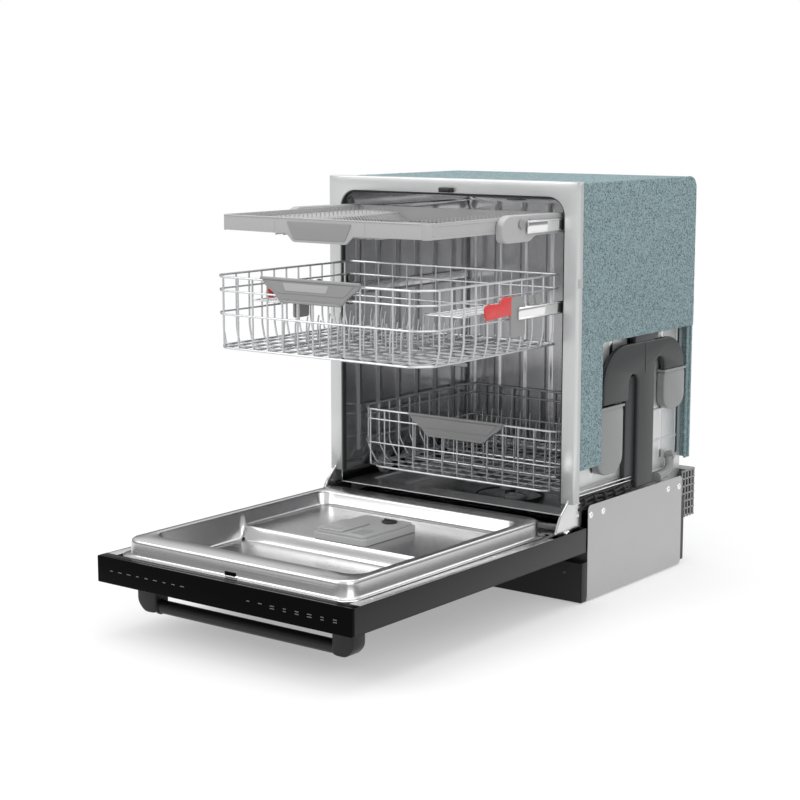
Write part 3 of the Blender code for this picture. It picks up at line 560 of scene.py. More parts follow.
@dataclass
class Case(Assembly):
    """Tub, front frame, seal, felt, duct, base and its covers."""

    rib_pitch: float = 68.0
    rib_depth: float = 2.2
    corner: float = 40.0

    def build(self) -> None:
        """Builds every piece of this sub-assembly."""
        self.tub = Box.of("tub_shell")
        self.face = Box.of("front_frame")
        self.felt = Box.of("insulation")
        self.build_tub()
        self.build_frame()
        self.build_seal()
        self.build_felt()
        self.build_duct()
        self.build_harness()
        self.build_side_plates()
        self.build_hinges()
        self.build_grille()
        self.build_kick()
        self.build_feet()
        self.build_striker()
        self.build_guides()

    def build_tub(self) -> None:
        """Walls as one sheet: a path round the plan, ribs standing in from it at the back and pressed
        outwards at the sides, clear of the racks' rails, up the height.

        The point at height z on the path lies drawn in by r - sqrt(r^2 - (z - (top - r))^2) above
        top - r, which rounds the walls into the roof.
        """
        tub = self.tub
        half, back, top = tub.x1 - 2.0, tub.y1 - 2.0, tub.z1 - 2.0
        ledge = Box.of("door_liner").z1
        front = self.face.y0 + 2.0
        plan = fillet([(half, front), (half, back), (-half, back), (-half, front)], REAR_CORNER, 10)
        steps = np.concatenate([[0], np.cumsum(np.linalg.norm(np.diff(plan, axis=0), axis=1))])
        along = np.linspace(0, steps[-1], 520)
        path = np.stack([np.interp(along, steps, plan[:, axis]) for axis in (0, 1)], axis=1)
        way = np.gradient(path, axis=0)
        way /= np.linalg.norm(way, axis=1)[:, None]
        inward = np.stack([-way[:, 1], way[:, 0]], axis=1)
        phase = np.abs(((along / self.rib_pitch) % 1.0) - 0.5) * self.rib_pitch
        rib = np.clip((9.0 - phase) / 4.0, 0, 1)
        rib = rib * rib * (3 - 2 * rib)
        heights = np.concatenate(
            [
                [ledge, ledge + 45, ledge + 60], np.linspace(ledge + 80, top - 75, 8), [top - 60, top - 45],
                top - self.corner * (1 - np.sin(np.linspace(0, math.pi / 2, 9)))
            ]
        )
        show = np.clip(np.minimum(heights - ledge - 45, top - 50 - heights) / 15.0, 0, 1)
        over = np.clip(heights - (top - self.corner), 0, self.corner)
        drawn = self.corner - np.sqrt(self.corner**2 - over**2)
        depth = np.where(np.abs(inward[:, 0]) > 0.5, -OUTWARD_RIB, self.rib_depth)
        inset = (rib * depth)[None] * show[:, None] + drawn[:, None]
        spot = path[None] + inward[None] * inset[..., None]
        grid = np.concatenate([spot, np.broadcast_to(heights[:, None, None], (*spot.shape[:2], 1))], axis=2)
        walls = Shape().sheet(grid)
        roof_half, roof_back = half - self.corner, back - self.corner
        columns, rows = np.linspace(-roof_half, roof_half, 30), np.linspace(front, roof_back, 20)
        across, deep = np.meshgrid(columns, rows)
        walls.sheet(np.stack([across, deep, np.full_like(across, top)], axis=-1)[::-1])
        thicken(walls.build("tub_walls", self.palette["polished steel"], "case"), 1.0, 1.0)
        self.build_tub_floor(half, back, ledge, front)

    def build_tub_floor(self, half: float, back: float, ledge: float, front: float) -> None:
        """The floor: ledges for the wheels, a sunk well with rounded edges, and a dish to the sump."""
        well = Box.of("tub_floor").z0 + 2.0
        inner = 238.0
        well_front = front + 58.0
        sump = Box.of("sump").middle()
        columns = np.unique(
            np.concatenate(
                [
                    np.linspace(-half, half, 60), np.linspace(inner - 12, inner + 4, 9),
                    -np.linspace(inner - 12, inner + 4, 9)
                ]
            )
        )
        rows = np.unique(
            np.concatenate(
                [np.linspace(front - 2, back, 60), np.linspace(well_front - 4, well_front + 12, 9)]
            )
        )
        across, deep = np.meshgrid(columns, rows)
        sunk = np.clip((inner - np.abs(across)) / 12, 0, 1) * np.clip((deep - well_front) / 12, 0, 1)
        sunk = sunk * sunk * (3 - 2 * sunk)
        away = np.hypot(across - sump[0], deep - sump[1])
        height = ledge + (well - ledge) * sunk - 7 * np.exp(-((away / 110) ** 2)) * sunk
        floor = Shape().sheet(np.stack([across, deep, height], axis=-1))
        thicken(floor.build("tub_floor", self.palette["satin steel"], "case"), 1.0)
        outer = Shape()
        outer_half = self.tub.x1 + 0.2
        for side in (-1, 1):
            outer.bar(
                (side * (outer_half - 1.0), side * outer_half), (front + 4, back + 1),
                (ledge - 4, self.tub.z1), 0.4
            )
        outer.bar((-outer_half, outer_half), (back + 0.6, back + 1.6), (ledge - 4, self.tub.z1), 0.4)
        outer.bar((-outer_half, outer_half), (front + 4, back + 1), (self.tub.z1 - 1.2, self.tub.z1), 0.4)
        for rise in (30.0, 95.0, 160.0):
            outer.tube(
                [(outer_half, front + 30, ledge + rise), (outer_half, back - 20, ledge + rise)], 2.6,
                (0, 0, 1), 8
            )
        shell = outer.build("tub_outside", self.palette["coated sheet"], "case")
        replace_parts(shell, "tub_shell", "tub_floor")

    def build_frame(self) -> None:
        """The frame's face as one pressed sheet round the opening, with its outer return."""
        face, seal = self.face, Box.of("door_seal")
        open_half, open_top, foot = seal.x1 + 0.3, seal.z1 + 0.3, face.z0
        rise = 38.0
        legs = [foot, foot + 120, foot + 300, open_top - rise]
        turn = np.linspace(0, math.pi / 2, 10)
        inner = [(open_half, z) for z in legs]
        inner += [
            (open_half - rise + rise * math.cos(a), open_top - rise + rise * math.sin(a)) for a in turn[1:]
        ]
        outer = [(face.x1, z) for z in legs]
        outer += [
            (face.x1, open_top - rise + (face.z1 - open_top + rise) * min(1, a / (math.pi / 4)))
            for a in turn[1:6]
        ]
        outer += [
            (face.x1 - (face.x1 - open_half + rise) * (a - math.pi / 4) / (math.pi / 4), face.z1)
            for a in turn[6:]
        ]
        inner, outer = np.array(inner), np.array(outer)
        mirror = np.array([-1, 1])
        inner = np.concatenate([inner, (inner * mirror)[::-1]])
        outer = np.concatenate([outer, (outer * mirror)[::-1]])
        depth = face.y1 - face.y0
        profile = (
            (0.0, 9.0), (0.0, 2.0), (0.02, 0.5), (0.06, 0.0), (0.5, 0.0), (0.92, 0.0), (0.985, 0.6),
            (1.0, 2.2), (1.0, depth)
        )
        rows = []
        for share, back in profile:
            flat = inner + (outer - inner) * share
            rows.append(to_axis(flat, np.array(face.y0 + back), "Y"))
        sheet = Shape().sheet(np.array(rows))
        obj = thicken(sheet.build("frame_face", self.palette["coated sheet"], "case"), 1.0, -1.0)
        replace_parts(obj, "front_frame")
        screws = Shape()
        middle = (open_half + face.x1) / 2
        for side in (-1, 1):
            for height in (foot + 40, 470.0, 640.0, open_top - 30):
                screws.screw((side * middle, face.y0, height), "Y", -1, 3.6, FLUSH)
            screws.screw((side * (open_half - 40), face.y0, open_top + 13), "Y", -1, 3.0, FLUSH)
        screws.build("frame_screws", self.palette["chrome"], "case")
        clip = Shape().bar((face.x1 - 1.5, face.x1 + 1.6), (face.y0 + 3, face.y0 + 22), (619, 637), 1.0)
        clip.build("side_clip", self.palette["light grey plastic"], "case")

    def build_seal(self) -> None:
        """The seal: a ribbed rubber section swept round the inside of the opening."""
        seal = Box.of("door_seal")
        rise = 36.0
        middle = 2.2
        path = fillet(
            [
                (seal.x1 - middle, 0, seal.z0 + 14), (seal.x1 - middle, 0, seal.z1 - middle),
                (seal.x0 + middle, 0, seal.z1 - middle), (seal.x0 + middle, 0, seal.z0 + 14)
            ],
            rise, 12,
        )
        rubber = Shape()
        for back, radius in ((3.0, 2.0), (6.5, 2.2), (10.0, 1.8)):
            rubber.tube(path + np.array([0, seal.y0 + back, 0]), radius, (0, 1, 0), 10)
        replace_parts(rubber.build("seal_lips", self.palette["black rubber"], "case"), "door_seal")

    def build_felt(self) -> None:
        """The blanket: a wavy-edged side panel on each side and a strip over the top and down the back."""
        felt = self.felt
        random = np.random.default_rng(7)
        thick = 5.5
        breaker = Box.of("air_breaker")
        front, back, top, foot = felt.y0 - 15, felt.y1 - 1.5, felt.z1, felt.z0
        bay_front, bay_top = breaker.y0 + 19, breaker.z1 + 14
        round_top = [
            (back - 24 + 24 * math.cos(a), top - 24 + 24 * math.sin(a))
            for a in np.linspace(0, math.pi / 2, 8)
        ]
        right = [(front, 265), (bay_front, 265), (bay_front, bay_top), (back, bay_top)]
        right += round_top + [(front, top)]
        left = [(front, foot), (back, foot)] + round_top + [(front, top)]
        for side, name in SIDES:
            outline = fillet(left if side < 0 else right, 3.5, 3, True)
            outline = self.wavy(outline, random)
            low, high = sorted((side * (felt.x1 - thick), side * felt.x1))
            panel = Shape().slab(outline, "X", low, high, 2.4)
            obj = panel.build("felt_" + name, self.palette["felt"], "case", 60)
            if side > 0:
                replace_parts(obj, "insulation")
        strip = fillet(
            [(back - 13, foot), (back - 1, foot), (back - 1, bay_top), (back - 13, bay_top)], 3.5, 3, True
        )
        rear = Shape().slab(self.wavy(strip, random), "X", felt.x1 - 2 * thick, felt.x1 - thick - 0.5, 2.0)
        rear.build("felt_rear_strip", self.palette["felt"], "case", 60)
        path = np.array(
            [(front, top - 0.2)] + [(y - 0.2, z - 0.2) for y, z in round_top[::-1]]
            + [(back - 0.2, foot + 2)]
        )
        inner = path.copy()
        inner[:, 0] -= np.linspace(0, thick, len(path))
        inner[:, 1] -= np.linspace(thick, 0, len(path))
        across = np.linspace(felt.x0 + 2.5, felt.x1 - 2.5, 60)
        rows = np.concatenate([path, inner[::-1]])
        grid = np.stack(
            [
                np.broadcast_to(across[None], (len(rows), 60)),
                np.broadcast_to(rows[:, 0][:, None], (len(rows), 60)),
                np.broadcast_to(rows[:, 1][:, None], (len(rows), 60))
            ],
            axis=-1
        )
        over = Shape().skin(grid.transpose(1, 0, 2))
        over.build("felt_over", self.palette["felt"], "case", 60)

    @staticmethod
    def wavy(outline: np.ndarray, random: np.random.Generator) -> np.ndarray:
        """The outline cut into short steps and moved a little by smoothed noise, as a cut edge is."""
        closed = np.concatenate([outline, outline[:1]])
        steps = np.concatenate([[0], np.cumsum(np.linalg.norm(np.diff(closed, axis=0), axis=1))])
        along = np.linspace(0, steps[-1], 420, endpoint=False)
        path = np.stack([np.interp(along, steps, closed[:, axis]) for axis in (0, 1)], axis=1)
        noise = random.normal(0, 1, (420, 2))
        kernel = np.array([0.25, 0.5, 0.25])
        smooth = np.stack([np.convolve(np.r_[n[-1], n, n[0]], kernel, "valid") for n in noise.T], axis=1)
        return path + smooth * 0.45

    def build_duct(self) -> None:
        """The arch duct on the right: a rounded band bent over two legs, a column and two tanks."""
        box = Box.of("air_breaker")
        inner, outer = box.x0, box.x1
        base = box.y0 - 88.0
        dark = Shape()
        dark.slab(self.duct_outline(base), "X", inner + 6, outer, 4.0)
        neck = [(base + 238, 484), (base + 238, 516), (base + 330, 516), (base + 330, 500), (base + 300, 484)]
        dark.slab(fillet(neck, 3, 3, True), "X", inner + 8, outer - 3, 1.2)
        for y in (base + 316, base + 322):
            dark.screw((outer - 3, y, 508), "X", 1, 1.6)
        dark.bar((outer - 0.5, outer + 0.9), (base + 273, base + 277), (430, 488), 0.5)
        dark.bar((inner + 2, outer - 8), (base + 212, base + 247), (215, 425), 1.5)
        obj = dark.build("duct_arch", self.palette["dark plastic"], "case")
        tanks = Shape()
        front_tank = [
            (base + 96, 376), (base + 192, 376), (base + 192, 262), (base + 170, 240), (base + 118, 240),
            (base + 96, 262)
        ]
        rear_tank = [
            (base + 354, 424), (base + 440, 424), (base + 440, 356), (base + 420, 340), (base + 372, 340),
            (base + 354, 356)
        ]
        for outline in (front_tank, rear_tank):
            tanks.slab(fillet(outline, 16, 5, True), "X", inner, outer - 0.8, 3.0)
            flat = np.array(outline)
            lip_low, lip_high = flat[:, 0].min() - 2, flat[:, 0].max() + 2
            lip = flat[:, 1].max()
            tanks.slab(
                fillet(
                    [(lip_low, lip - 5), (lip_high, lip - 5), (lip_high, lip), (lip_low, lip)], 1.5, 3, True
                ),
                "X", inner, outer + 1.0, 1.0
            )
        tanks.build("duct_tanks", self.palette["tank plastic"], "case")
        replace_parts(obj, "air_breaker")
        elbow = Shape()
        path = fillet([(285, base + 400, 238), (285, base + 400, 206), (285, base + 350, 200)], 26, 8)
        elbow.tube(path, 9, (1, 0, 0), 16)
        for place in (path[0], path[-1]):
            elbow.lathe(((11, -4), (11, 4)), place, "Z" if place is path[0] else "Y", 20)
        elbow.build("duct_elbow", self.palette["grey plastic"], "case")

    @staticmethod
    def duct_outline(base: float) -> np.ndarray:
        """The duct's outline: an arch over a short rear leg, a long column and a front leg, with a
        round-topped slot at each side of the column."""

        def turn(y: float, z: float, radius: float, start: float, end: float, steps: int = 10) -> list:
            """Points along an arc, from one angle to another in degrees."""
            angles = np.radians(np.linspace(start, end, steps))
            return [(y + radius * math.cos(a), z + radius * math.sin(a)) for a in angles]

        slot_top = 412.0
        points = [(base + 115, 379)] + turn(base + 200, 407, 85, 180, 90) + turn(base + 367, 424, 68, 90, 0)
        points += [(base + 355, 424)] + turn(base + 334, slot_top + 22, 21, 0, 180, 8)
        points += [(base + 313, 196), (base + 248, 196)] + turn(base + 229.5, slot_top, 18.5, 0, 180, 8)
        points += [(base + 211, 379)]
        return np.array(points)

    def build_harness(self) -> None:
        """Hoses and a cable loom along the side, under the felt and over the base."""
        box = Box.of("side_plate_right")
        x = box.x0 - 12.0
        loom = Shape()
        for lift, radius, wave in ((6.0, 4.0, 3.0), (14.0, 2.6, 2.0), (-4.0, 5.0, 2.0)):
            y = np.linspace(box.y0 - 20, box.y0 + 175, 40)
            z = box.z1 + lift + wave * np.sin(y / 22.0) + (y - box.y0) * 0.03
            loom.tube(np.column_stack([np.full(40, x), y, z]), radius, (0, 0, 1), 10)
        for y in np.linspace(box.y0, box.y0 + 150, 5):
            loom.lathe(((8.0, -2), (9.0, -1.4), (9.0, 1.4), (8.0, 2)), (x, y, box.z1 + 6), "Y", 20)
        loom.build("side_loom", self.palette["black rubber"], "case")
        rails = Shape()
        for lift in (20.0, 27.0):
            rails.bar((x - 6, x + 4), (box.y0 - 34, box.y0 + 190), (box.z1 + lift, box.z1 + lift + 2.2), 0.8)
        rails.build("side_rails", self.palette["chrome"], "case")

    def build_side_plates(self) -> None:
        """The base's side covers, each a rounded plate with four screws in dimples."""
        for side, name in SIDES:
            box = Box.of("side_plate_" + name)
            outline = rounded_rectangle(box.y0, box.y1, box.z0, box.z1, 9, 6)
            plate = Shape().slab(outline, "X", box.x0, box.x1, 0.7)
            face = box.x1 if side > 0 else box.x0
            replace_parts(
                plate.build("cover_" + name, self.palette["side cover"], "case"), "side_plate_" + name
            )
            screws = Shape()
            for y, drop in ((box.y0 + 10, 20), (box.y0 + 56, 20), (box.y1 - 58, 20), (box.y1 - 12, 22)):
                screws.screw((face, y, box.z1 - drop), "X", side, 4.2)
                screws.lathe(
                    ((5.0, 0), (6.6, 0), (6.2, side * 0.5), (5.4, side * 0.5)), (face, y, box.z1 - drop),
                    "X", 24
                )
            screws.build("cover_screws_" + name, self.palette["chrome"], "case")

    def build_hinges(self) -> None:
        """The pivot plates: a curved wing with a rolled edge, a pivot pin and two screws."""
        for side, name in SIDES:
            node = "hinge_plate_" + name
            box = Box.of(node)
            base = box.y0 + 46.0
            wing = [
                (base + 2, 262), (base + 2, 214), (base - 12, 200), (base - 30, 184), (base - 44, 158),
                (base - 46, 151)
            ]
            wing += [
                (base - 16, 140), (base + 8, 138), (base + 16, 150), (base + 50, 151), (base + 50, 196),
                (base + 22, 215), (base + 20, 262)
            ]
            shape = Shape().slab(fillet(wing, 9, 4, True), "X", box.x0, box.x1, 0.9)
            out = box.x1 if side > 0 else box.x0
            rim = fillet(
                [
                    (out, base - 45, 156), (out, base - 30, 184), (out, base - 10, 200),
                    (out, base + 3, 212), (out, base + 3, 258)
                ],
                12, 5
            )
            shape.tube(rim, 1.9, (1, 0, 0), 8)
            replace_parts(shape.build("wing_" + name, self.palette["satin steel"], "case"), node)
            pins = Shape()
            pins.lathe(
                ((0.1, 4.2 * side), (6.0, 4.2 * side), (7.2, 3.0 * side), (7.2, -3 * side)),
                (out, base - 4.5, 147), "X", 24
            )
            pins.screw((out, base + 12, 240), "X", side, 3.6)
            pins.screw((out, base + 36, 176), "X", side, 3.6)
            pins.build("wing_pins_" + name, self.palette["chrome"], "case")

    def build_grille(self) -> None:
        """The rear cover: a frame with rows of slots seen from the side, and ribs across its back."""
        box = Box.of("rear_grille")
        shape = Shape()
        wall = 2.4
        for side in (-1, 1):
            outer, inner = side * box.x1, side * (box.x1 - wall)
            for y in np.linspace(box.y0 + 3, box.y1 - 3, 5):
                shape.bar((inner, outer), (y - 1.6, y + 1.6), (box.z0, box.z1), 0.6)
            for z in np.linspace(box.z0 + 3, box.z1 - 3, 7):
                shape.bar((inner, outer), (box.y0, box.y1), (z - 1.6, z + 1.6), 0.6)
        for z in np.linspace(box.z0 + 4, box.z1 - 4, 9):
            shape.bar((box.x0 + 1, box.x1 - 1), (box.y1 - 3.2, box.y1), (z - 2.2, z + 2.2), 0.8)
        shape.bar((box.x0 + 1, box.x1 - 1), (box.y1 - 4.5, box.y1 - 3.0), (box.z0 + 1, box.z1 - 1), 0.5)
        shape.bar((box.x0 + 1, box.x1 - 1), (box.y0 + 22, box.y1), (box.z1 - 2, box.z1), 0.6)
        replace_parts(shape.build("grille", self.palette["grey plastic"], "case"), "rear_grille")
        back = Shape()
        for side in (-1, 1):
            back.bar(
                (side * (box.x1 - 9), side * (box.x1 - 8)), (box.y0 + 2, box.y1 - 4),
                (box.z0 + 2, box.z1 - 2), 0.3
            )
        back.build("grille_back", self.palette["dark plastic"], "case")

    def build_kick(self) -> None:
        """The kick plate: a sheet with rolled edges and two screws."""
        box = Box.of("kick_plate")
        shape = Shape().bar((box.x0, box.x1), (box.y0, box.y1), (box.z0, box.z1), 0.6)
        for side in (-1, 1):
            shape.bar((side * (box.x1 - 1.6), side * box.x1), (box.y0, box.y1 + 19), (box.z0, box.z1), 0.6)
        shape.tube(
            [(box.x0 + 2, box.y0 + 1, box.z1 - 1), (box.x1 - 2, box.y0 + 1, box.z1 - 1)], 1.6, (0, 0, 1), 8
        )
        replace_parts(shape.build("kick_sheet", self.palette["black paint"], "case"), "kick_plate")
        screws = Shape()
        for side in (-1, 1):
            screws.screw((side * (box.x1 - 40), box.y0, box.z1 - 22), "Y", -1, 4.0)
        screws.build("kick_screws", self.palette["dark plastic"], "case")

    def build_feet(self) -> None:
        """Each foot: a pad with a ribbed skirt under a threaded stem."""
        for place in ("front", "rear"):
            for _, side in SIDES:
                node = "foot_%s_%s" % (place, side)
                box = Box.of(node)
                x, y, _ = box.middle()
                thread = np.arange(9.0, box.z1 - 1.0, 1.25)
                radii = np.where(np.arange(len(thread)) % 2, 6.0, 5.2)
                profile = [(0.02, 0.0), (21, 0.0), (22, 1.2), (21.4, 4.5), (16, 7.0), (7, 8.0)]
                profile += list(zip(radii, thread)) + [(0.02, box.z1)]
                foot = Shape().lathe(profile, (x, y, 0), "Z", 28)
                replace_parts(foot.build(node + "_turned", self.palette["dark plastic"], node), node)

    def build_striker(self) -> None:
        """The striker: a rubber-clad tongue with a slot, on a small foot."""
        box = Box.of("latch_striker")
        shape = Shape()
        shape.bar((box.x0, box.x1), (box.y0 + 4, box.y1), (box.z0 + 1, box.z1), 1.6)
        shape.bar((box.x0 + 5, box.x1 - 5), (box.y0, box.y0 + 8), (box.z0 + 3, box.z1 - 2), 1.4)
        shape.screw((box.x0 + 5, box.y0 + 4, box.z1 - 4), "Y", -1, 2.0)
        shape.screw((box.x1 - 5, box.y0 + 4, box.z1 - 4), "Y", -1, 2.0)
        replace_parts(shape.build("striker", self.palette["black rubber"], "case"), "latch_striker")

    def build_guides(self) -> None:
        """The channels on the walls: a web with two rolled lips, and rollers near the opening."""
        for side, hand in SIDES:
            for rack in ("upper", "third"):
                node = "%s_guide_%s" % (rack, hand)
                box = Box.of(node)
                wall, lip = (box.x1, box.x0) if side > 0 else (box.x0, box.x1)
                shape = Shape().bar((wall - side * 1.6, wall), (box.y0, box.y1), (box.z0, box.z1), 0.5)
                for z in (box.z0 + 1.2, box.z1 - 1.2):
                    shape.bar((wall, lip), (box.y0, box.y1), (z - 1.2, z + 1.2), 0.6)
                    shape.tube([(lip, box.y0 + 1, z), (lip, box.y1 - 1, z)], 1.5, (0, 0, 1), 8)
                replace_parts(shape.build(node + "_channel", self.palette["chrome"], "case"), node)
                rollers = Shape()
                for z in (box.z0 - 11, box.z1 + 11):
                    profile = ((0.1, -3), (8, -3), (9, -2), (9, 2), (8, 3), (0.1, 3))
                    rollers.lathe(profile, (wall - side * 4, box.y0 + 16, z), "X", 24)
                rollers.build("%s_rollers_%s" % (rack, hand), self.palette["grey plastic"], "case")

    def dress(self) -> None:
        """Gives the CAD nodes that stay visible their materials."""
        look = self.palette
        dress(self.frame, "base_pan", look["dark plastic"], 0.8)
        dress(self.frame, "sump", look["dark plastic"], 0.5)
        dress(self.frame, "circulation_pump", look["grey plastic"], 1.5)
        dress(self.frame, "counterweight", look["cast iron"], 2.0)


# ---------------------------------------------------------------- door


@dataclass
class Door(Assembly):
    """The open door: painted shell, pressed steel liner, control strip, handle and dispenser."""

    def build(self) -> None:
        """Builds every piece of this sub-assembly."""
        self.panel = Box.of("door_panel")
        self.liner = Box.of("door_liner")
        self.build_liner()
        self.build_shell()
        self.build_controls()
        self.build_handle()
        self.build_dispenser()

    def build_liner(self) -> None:
        """The liner as one pressed sheet: rounded loops from the flange's edge in to the recess.

        Each row of the profile is (inset from the rim's outer loop, height, corner radius), so the
        surface is the profile swept round a rounded rectangle; inside the recess the floor height
        follows y, low in front of the step and higher behind it.
        """
        base = self.liner.y0 + 664.7
        flange, top = 149.2, self.liner.z1
        half, front, rear = 265.0, base - 642.0, base - 42.0
        rows = [
            (-3.0, flange, 30), (0.0, flange + 0.6, 33), (2.2, flange + 4.0, 31.5), (3.0, top - 7, 30.5),
            (4.4, top - 2.0, 29.5), (7.6, top, 27)
        ]
        inner_half, inner_front, inner_rear = 243.0, base - 590.0, base - 95.0
        steps = 10
        loops = [
            self.loop(half - inset, front + inset, rear - inset, radius, height, steps) for inset, height,
            radius in rows
        ]
        flange_loop = self.loop(half + 12, front - 12, rear + 12, 42, flange, steps)
        recess = [
            (3.0, top, 31), (0.6, top - 0.8, 29), (-1.6, top - 4.0, 27), (-4.4, None, 24), (-9.0, -1.0, 20)
        ]
        for grow, height, radius in recess:
            ring = self.loop(inner_half + grow, inner_front - grow, inner_rear + grow, radius, 0, steps)
            floor = self.floor_height(ring[:, 1], base)
            if height is None:
                ring[:, 2] = floor + 5.0
            elif height < 0:
                ring[:, 2] = floor
            else:
                ring[:, 2] = height
            loops.append(ring)
        pressed = Shape().sheet(np.array([flange_loop, *loops]), True)
        columns = np.linspace(-inner_half + 8, inner_half - 8, 40)
        step = base - 345.0
        deep = np.unique(
            np.concatenate(
                [np.linspace(inner_front + 8, inner_rear - 8, 60), np.linspace(step - 12, step + 14, 20)]
            )
        )
        across, along = np.meshgrid(columns, deep)
        height = self.floor_height(along, base)
        drain = 1.5 * np.exp(-((across / 160) ** 2) - ((along - base + 470) / 60) ** 2)
        pressed.sheet(np.stack([across, along, height - drain], axis=-1))
        obj = thicken(pressed.build("liner_pressing", self.palette["satin steel"], "door", 50), 0.8)
        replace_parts(obj, "door_liner")
        slot = Shape().bar((-13, 13), (front + 0.6, front + 4), (flange + 1.5, flange + 9), 1.2)
        slot.build("latch_slot", self.palette["gloss black"], "door")
        self.build_flange(flange, half, front, rear)

    @staticmethod
    def loop(
        half: float, front: float, rear: float, radius: float, height: float, steps: int
    ) -> np.ndarray:
        """A level rounded rectangle as points in space, with as many points whatever its size."""
        flat = rounded_rectangle(-half, half, front, rear, radius, steps)
        following = np.roll(flat, -1, axis=0)
        points = []
        for start, end in zip(flat, following):
            count = STRAIGHT_POINTS if np.linalg.norm(end - start) > STRAIGHT_SIDE else 1
            points.append(start + (end - start) * np.arange(count)[:, None] / count)
        path = np.concatenate(points)
        return np.column_stack([path, np.full(len(path), float(height))])

    @staticmethod
    def floor_height(y: np.ndarray, base: float) -> np.ndarray:
        """The recess floor: the front pan, then a smooth riser to the plateau."""
        share = np.clip((y - (base - 352.0)) / 14.0, 0, 1)
        share = share * share * (3 - 2 * share)
        return 126.0 + (152.0 - 126.0) * share

    def build_flange(self, flange: float, half: float, front: float, rear: float) -> None:
        """The flat flange round the rim, in strips, with the latch slot left open in front."""
        edge, low_y, high_y = self.liner.x1, self.liner.y0, self.liner.y1
        slot = 18.0
        strips = Shape()
        strips.bar((-edge, -slot), (low_y, front - 8), (flange - 1.2, flange), 0.4)
        strips.bar((slot, edge), (low_y, front - 8), (flange - 1.2, flange), 0.4)
        strips.bar((-slot, slot), (low_y, low_y + 3), (flange - 1.2, flange), 0.3)
        strips.bar((-slot, slot), (front - 11, front - 8), (flange - 1.2, flange), 0.3)
        for side in (-1, 1):
            strips.bar(
                (side * (half + 8), side * edge), (front - 9, rear + 9 - 30), (flange - 1.2, flange), 0.4
            )
            strips.bar((side * (half + 8), side * 283), (rear - 22, high_y), (flange - 1.2, flange), 0.4)
        strips.bar((-half - 9, half + 9), (rear + 8, high_y), (flange - 1.2, flange), 0.4)
        strips.build("liner_flange", self.palette["satin steel"], "door")
        border = Shape()
        border.bar(
            (-edge - 1.8, edge + 1.8), (self.panel.y0 + 0.4, low_y + 15), (flange - 0.2, flange + 0.25), 0.1
        )
        border.build("liner_border", self.palette["gloss black"], "door")
        screws = Shape()
        for side in (-1, 1):
            for y in (front + 40, front + 220, front + 400, rear - 60):
                screws.screw((side * (half + 18), y, flange), "Z", 1, 3.4, FLUSH)
        screws.build("liner_screws", self.palette["chrome"], "door")

    def build_shell(self) -> None:
        """The painted shell: an outer face with rolled edges and four walls."""
        box = self.panel
        shape = Shape()
        shape.slab(rounded_rectangle(box.x0, box.x1, box.y0, box.y1, 2.0, 4), "Z", box.z0, box.z0 + 1.7, 0.7)
        for side in (-1, 1):
            shape.bar((side * (box.x1 - 1.7), side * box.x1), (box.y0, box.y1), (box.z0, box.z1), 0.7)
        for low, high in ((box.y0, box.y0 + 1.7), (box.y1 - 1.7, box.y1)):
            shape.bar((box.x0, box.x1), (low, high), (box.z0, box.z1), 0.7)
        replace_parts(shape.build("door_shell", self.palette["black paint"], "door"), "door_panel")

    def build_controls(self) -> None:
        """The control strip: a gloss bar with touch marks of short bars and dots on its face."""
        box = Box.of("control_panel")
        strip = Shape().slab(
            rounded_rectangle(box.x0, box.x1, box.z0, box.z1, 2.0, 5), "Y", box.y0, box.y1, 0.9
        )
        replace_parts(strip.build("control_strip", self.palette["gloss black"], "door"), "control_panel")
        marks = Shape()
        face = box.y0
        middle = (box.z0 + box.z1) / 2
        left = np.linspace(-262, -85, 9)
        right = np.linspace(70, 262, 8)
        for index, x in enumerate(np.concatenate([left, right])):
            width = 6.0 + 2.0 * (index % 3)
            for row in range(1 if index < len(left) + 2 else 2):
                level = middle - 4.4 * row
                for dash in np.arange(x - width / 2, x + width / 2, 1.7):
                    marks.bar((dash, dash + 1.1), (face - 0.06, face + 0.1), (level - 0.8, level + 0.8), 0.05)
        marks.build("control_marks", self.palette["mark white"], "door")

    def build_handle(self) -> None:
        """The handle: a tube between two posts with rounded corners, and a collar at each end."""
        box = Box.of("door_handle")
        bar_y, bar_z, radius = box.y0 + 17.0, box.z0 + 12.4, 12.6
        inner = 210.0
        bar = Shape()
        bar.tube(
            np.column_stack(
                [np.linspace(-inner - 6, inner + 6, 24), np.full(24, bar_y), np.full(24, bar_z)]
            ),
            radius, (0, 0, 1), 28
        )
        for side in (-1, 1):
            collar = (
                (0.1, 0), (radius + 1.6, 0), (radius + 2.2, 1.5), (radius + 2.2, 6), (radius + 1.2, 8),
                (0.1, 8)
            )
            bar.lathe(collar, (side * inner - 4, bar_y, bar_z), "X", 28)
            corner = [
                (side * (inner - 2), box.z1), (side * (inner - 2), box.z0 + 2),
                (side * (box.x1 - 17), box.z0 + 1), (side * box.x1, box.z0 + 18), (side * box.x1, box.z1)
            ]
            outline = fillet(corner, 10, 5, True)
            bar.slab(outline, "Y", box.y0 + 0.5, box.y1 - 0.5, 3.0)
            foot = rounded_rectangle(
                *sorted((side * (inner - 5), side * (box.x1 + 3))), box.y0 - 3, box.y1 + 3, 6, 5
            )
            bar.slab(foot, "Z", box.z1 - 3.2, box.z1, 1.0)
        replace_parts(bar.build("handle_bar", self.palette["black paint"], "door"), "door_handle")

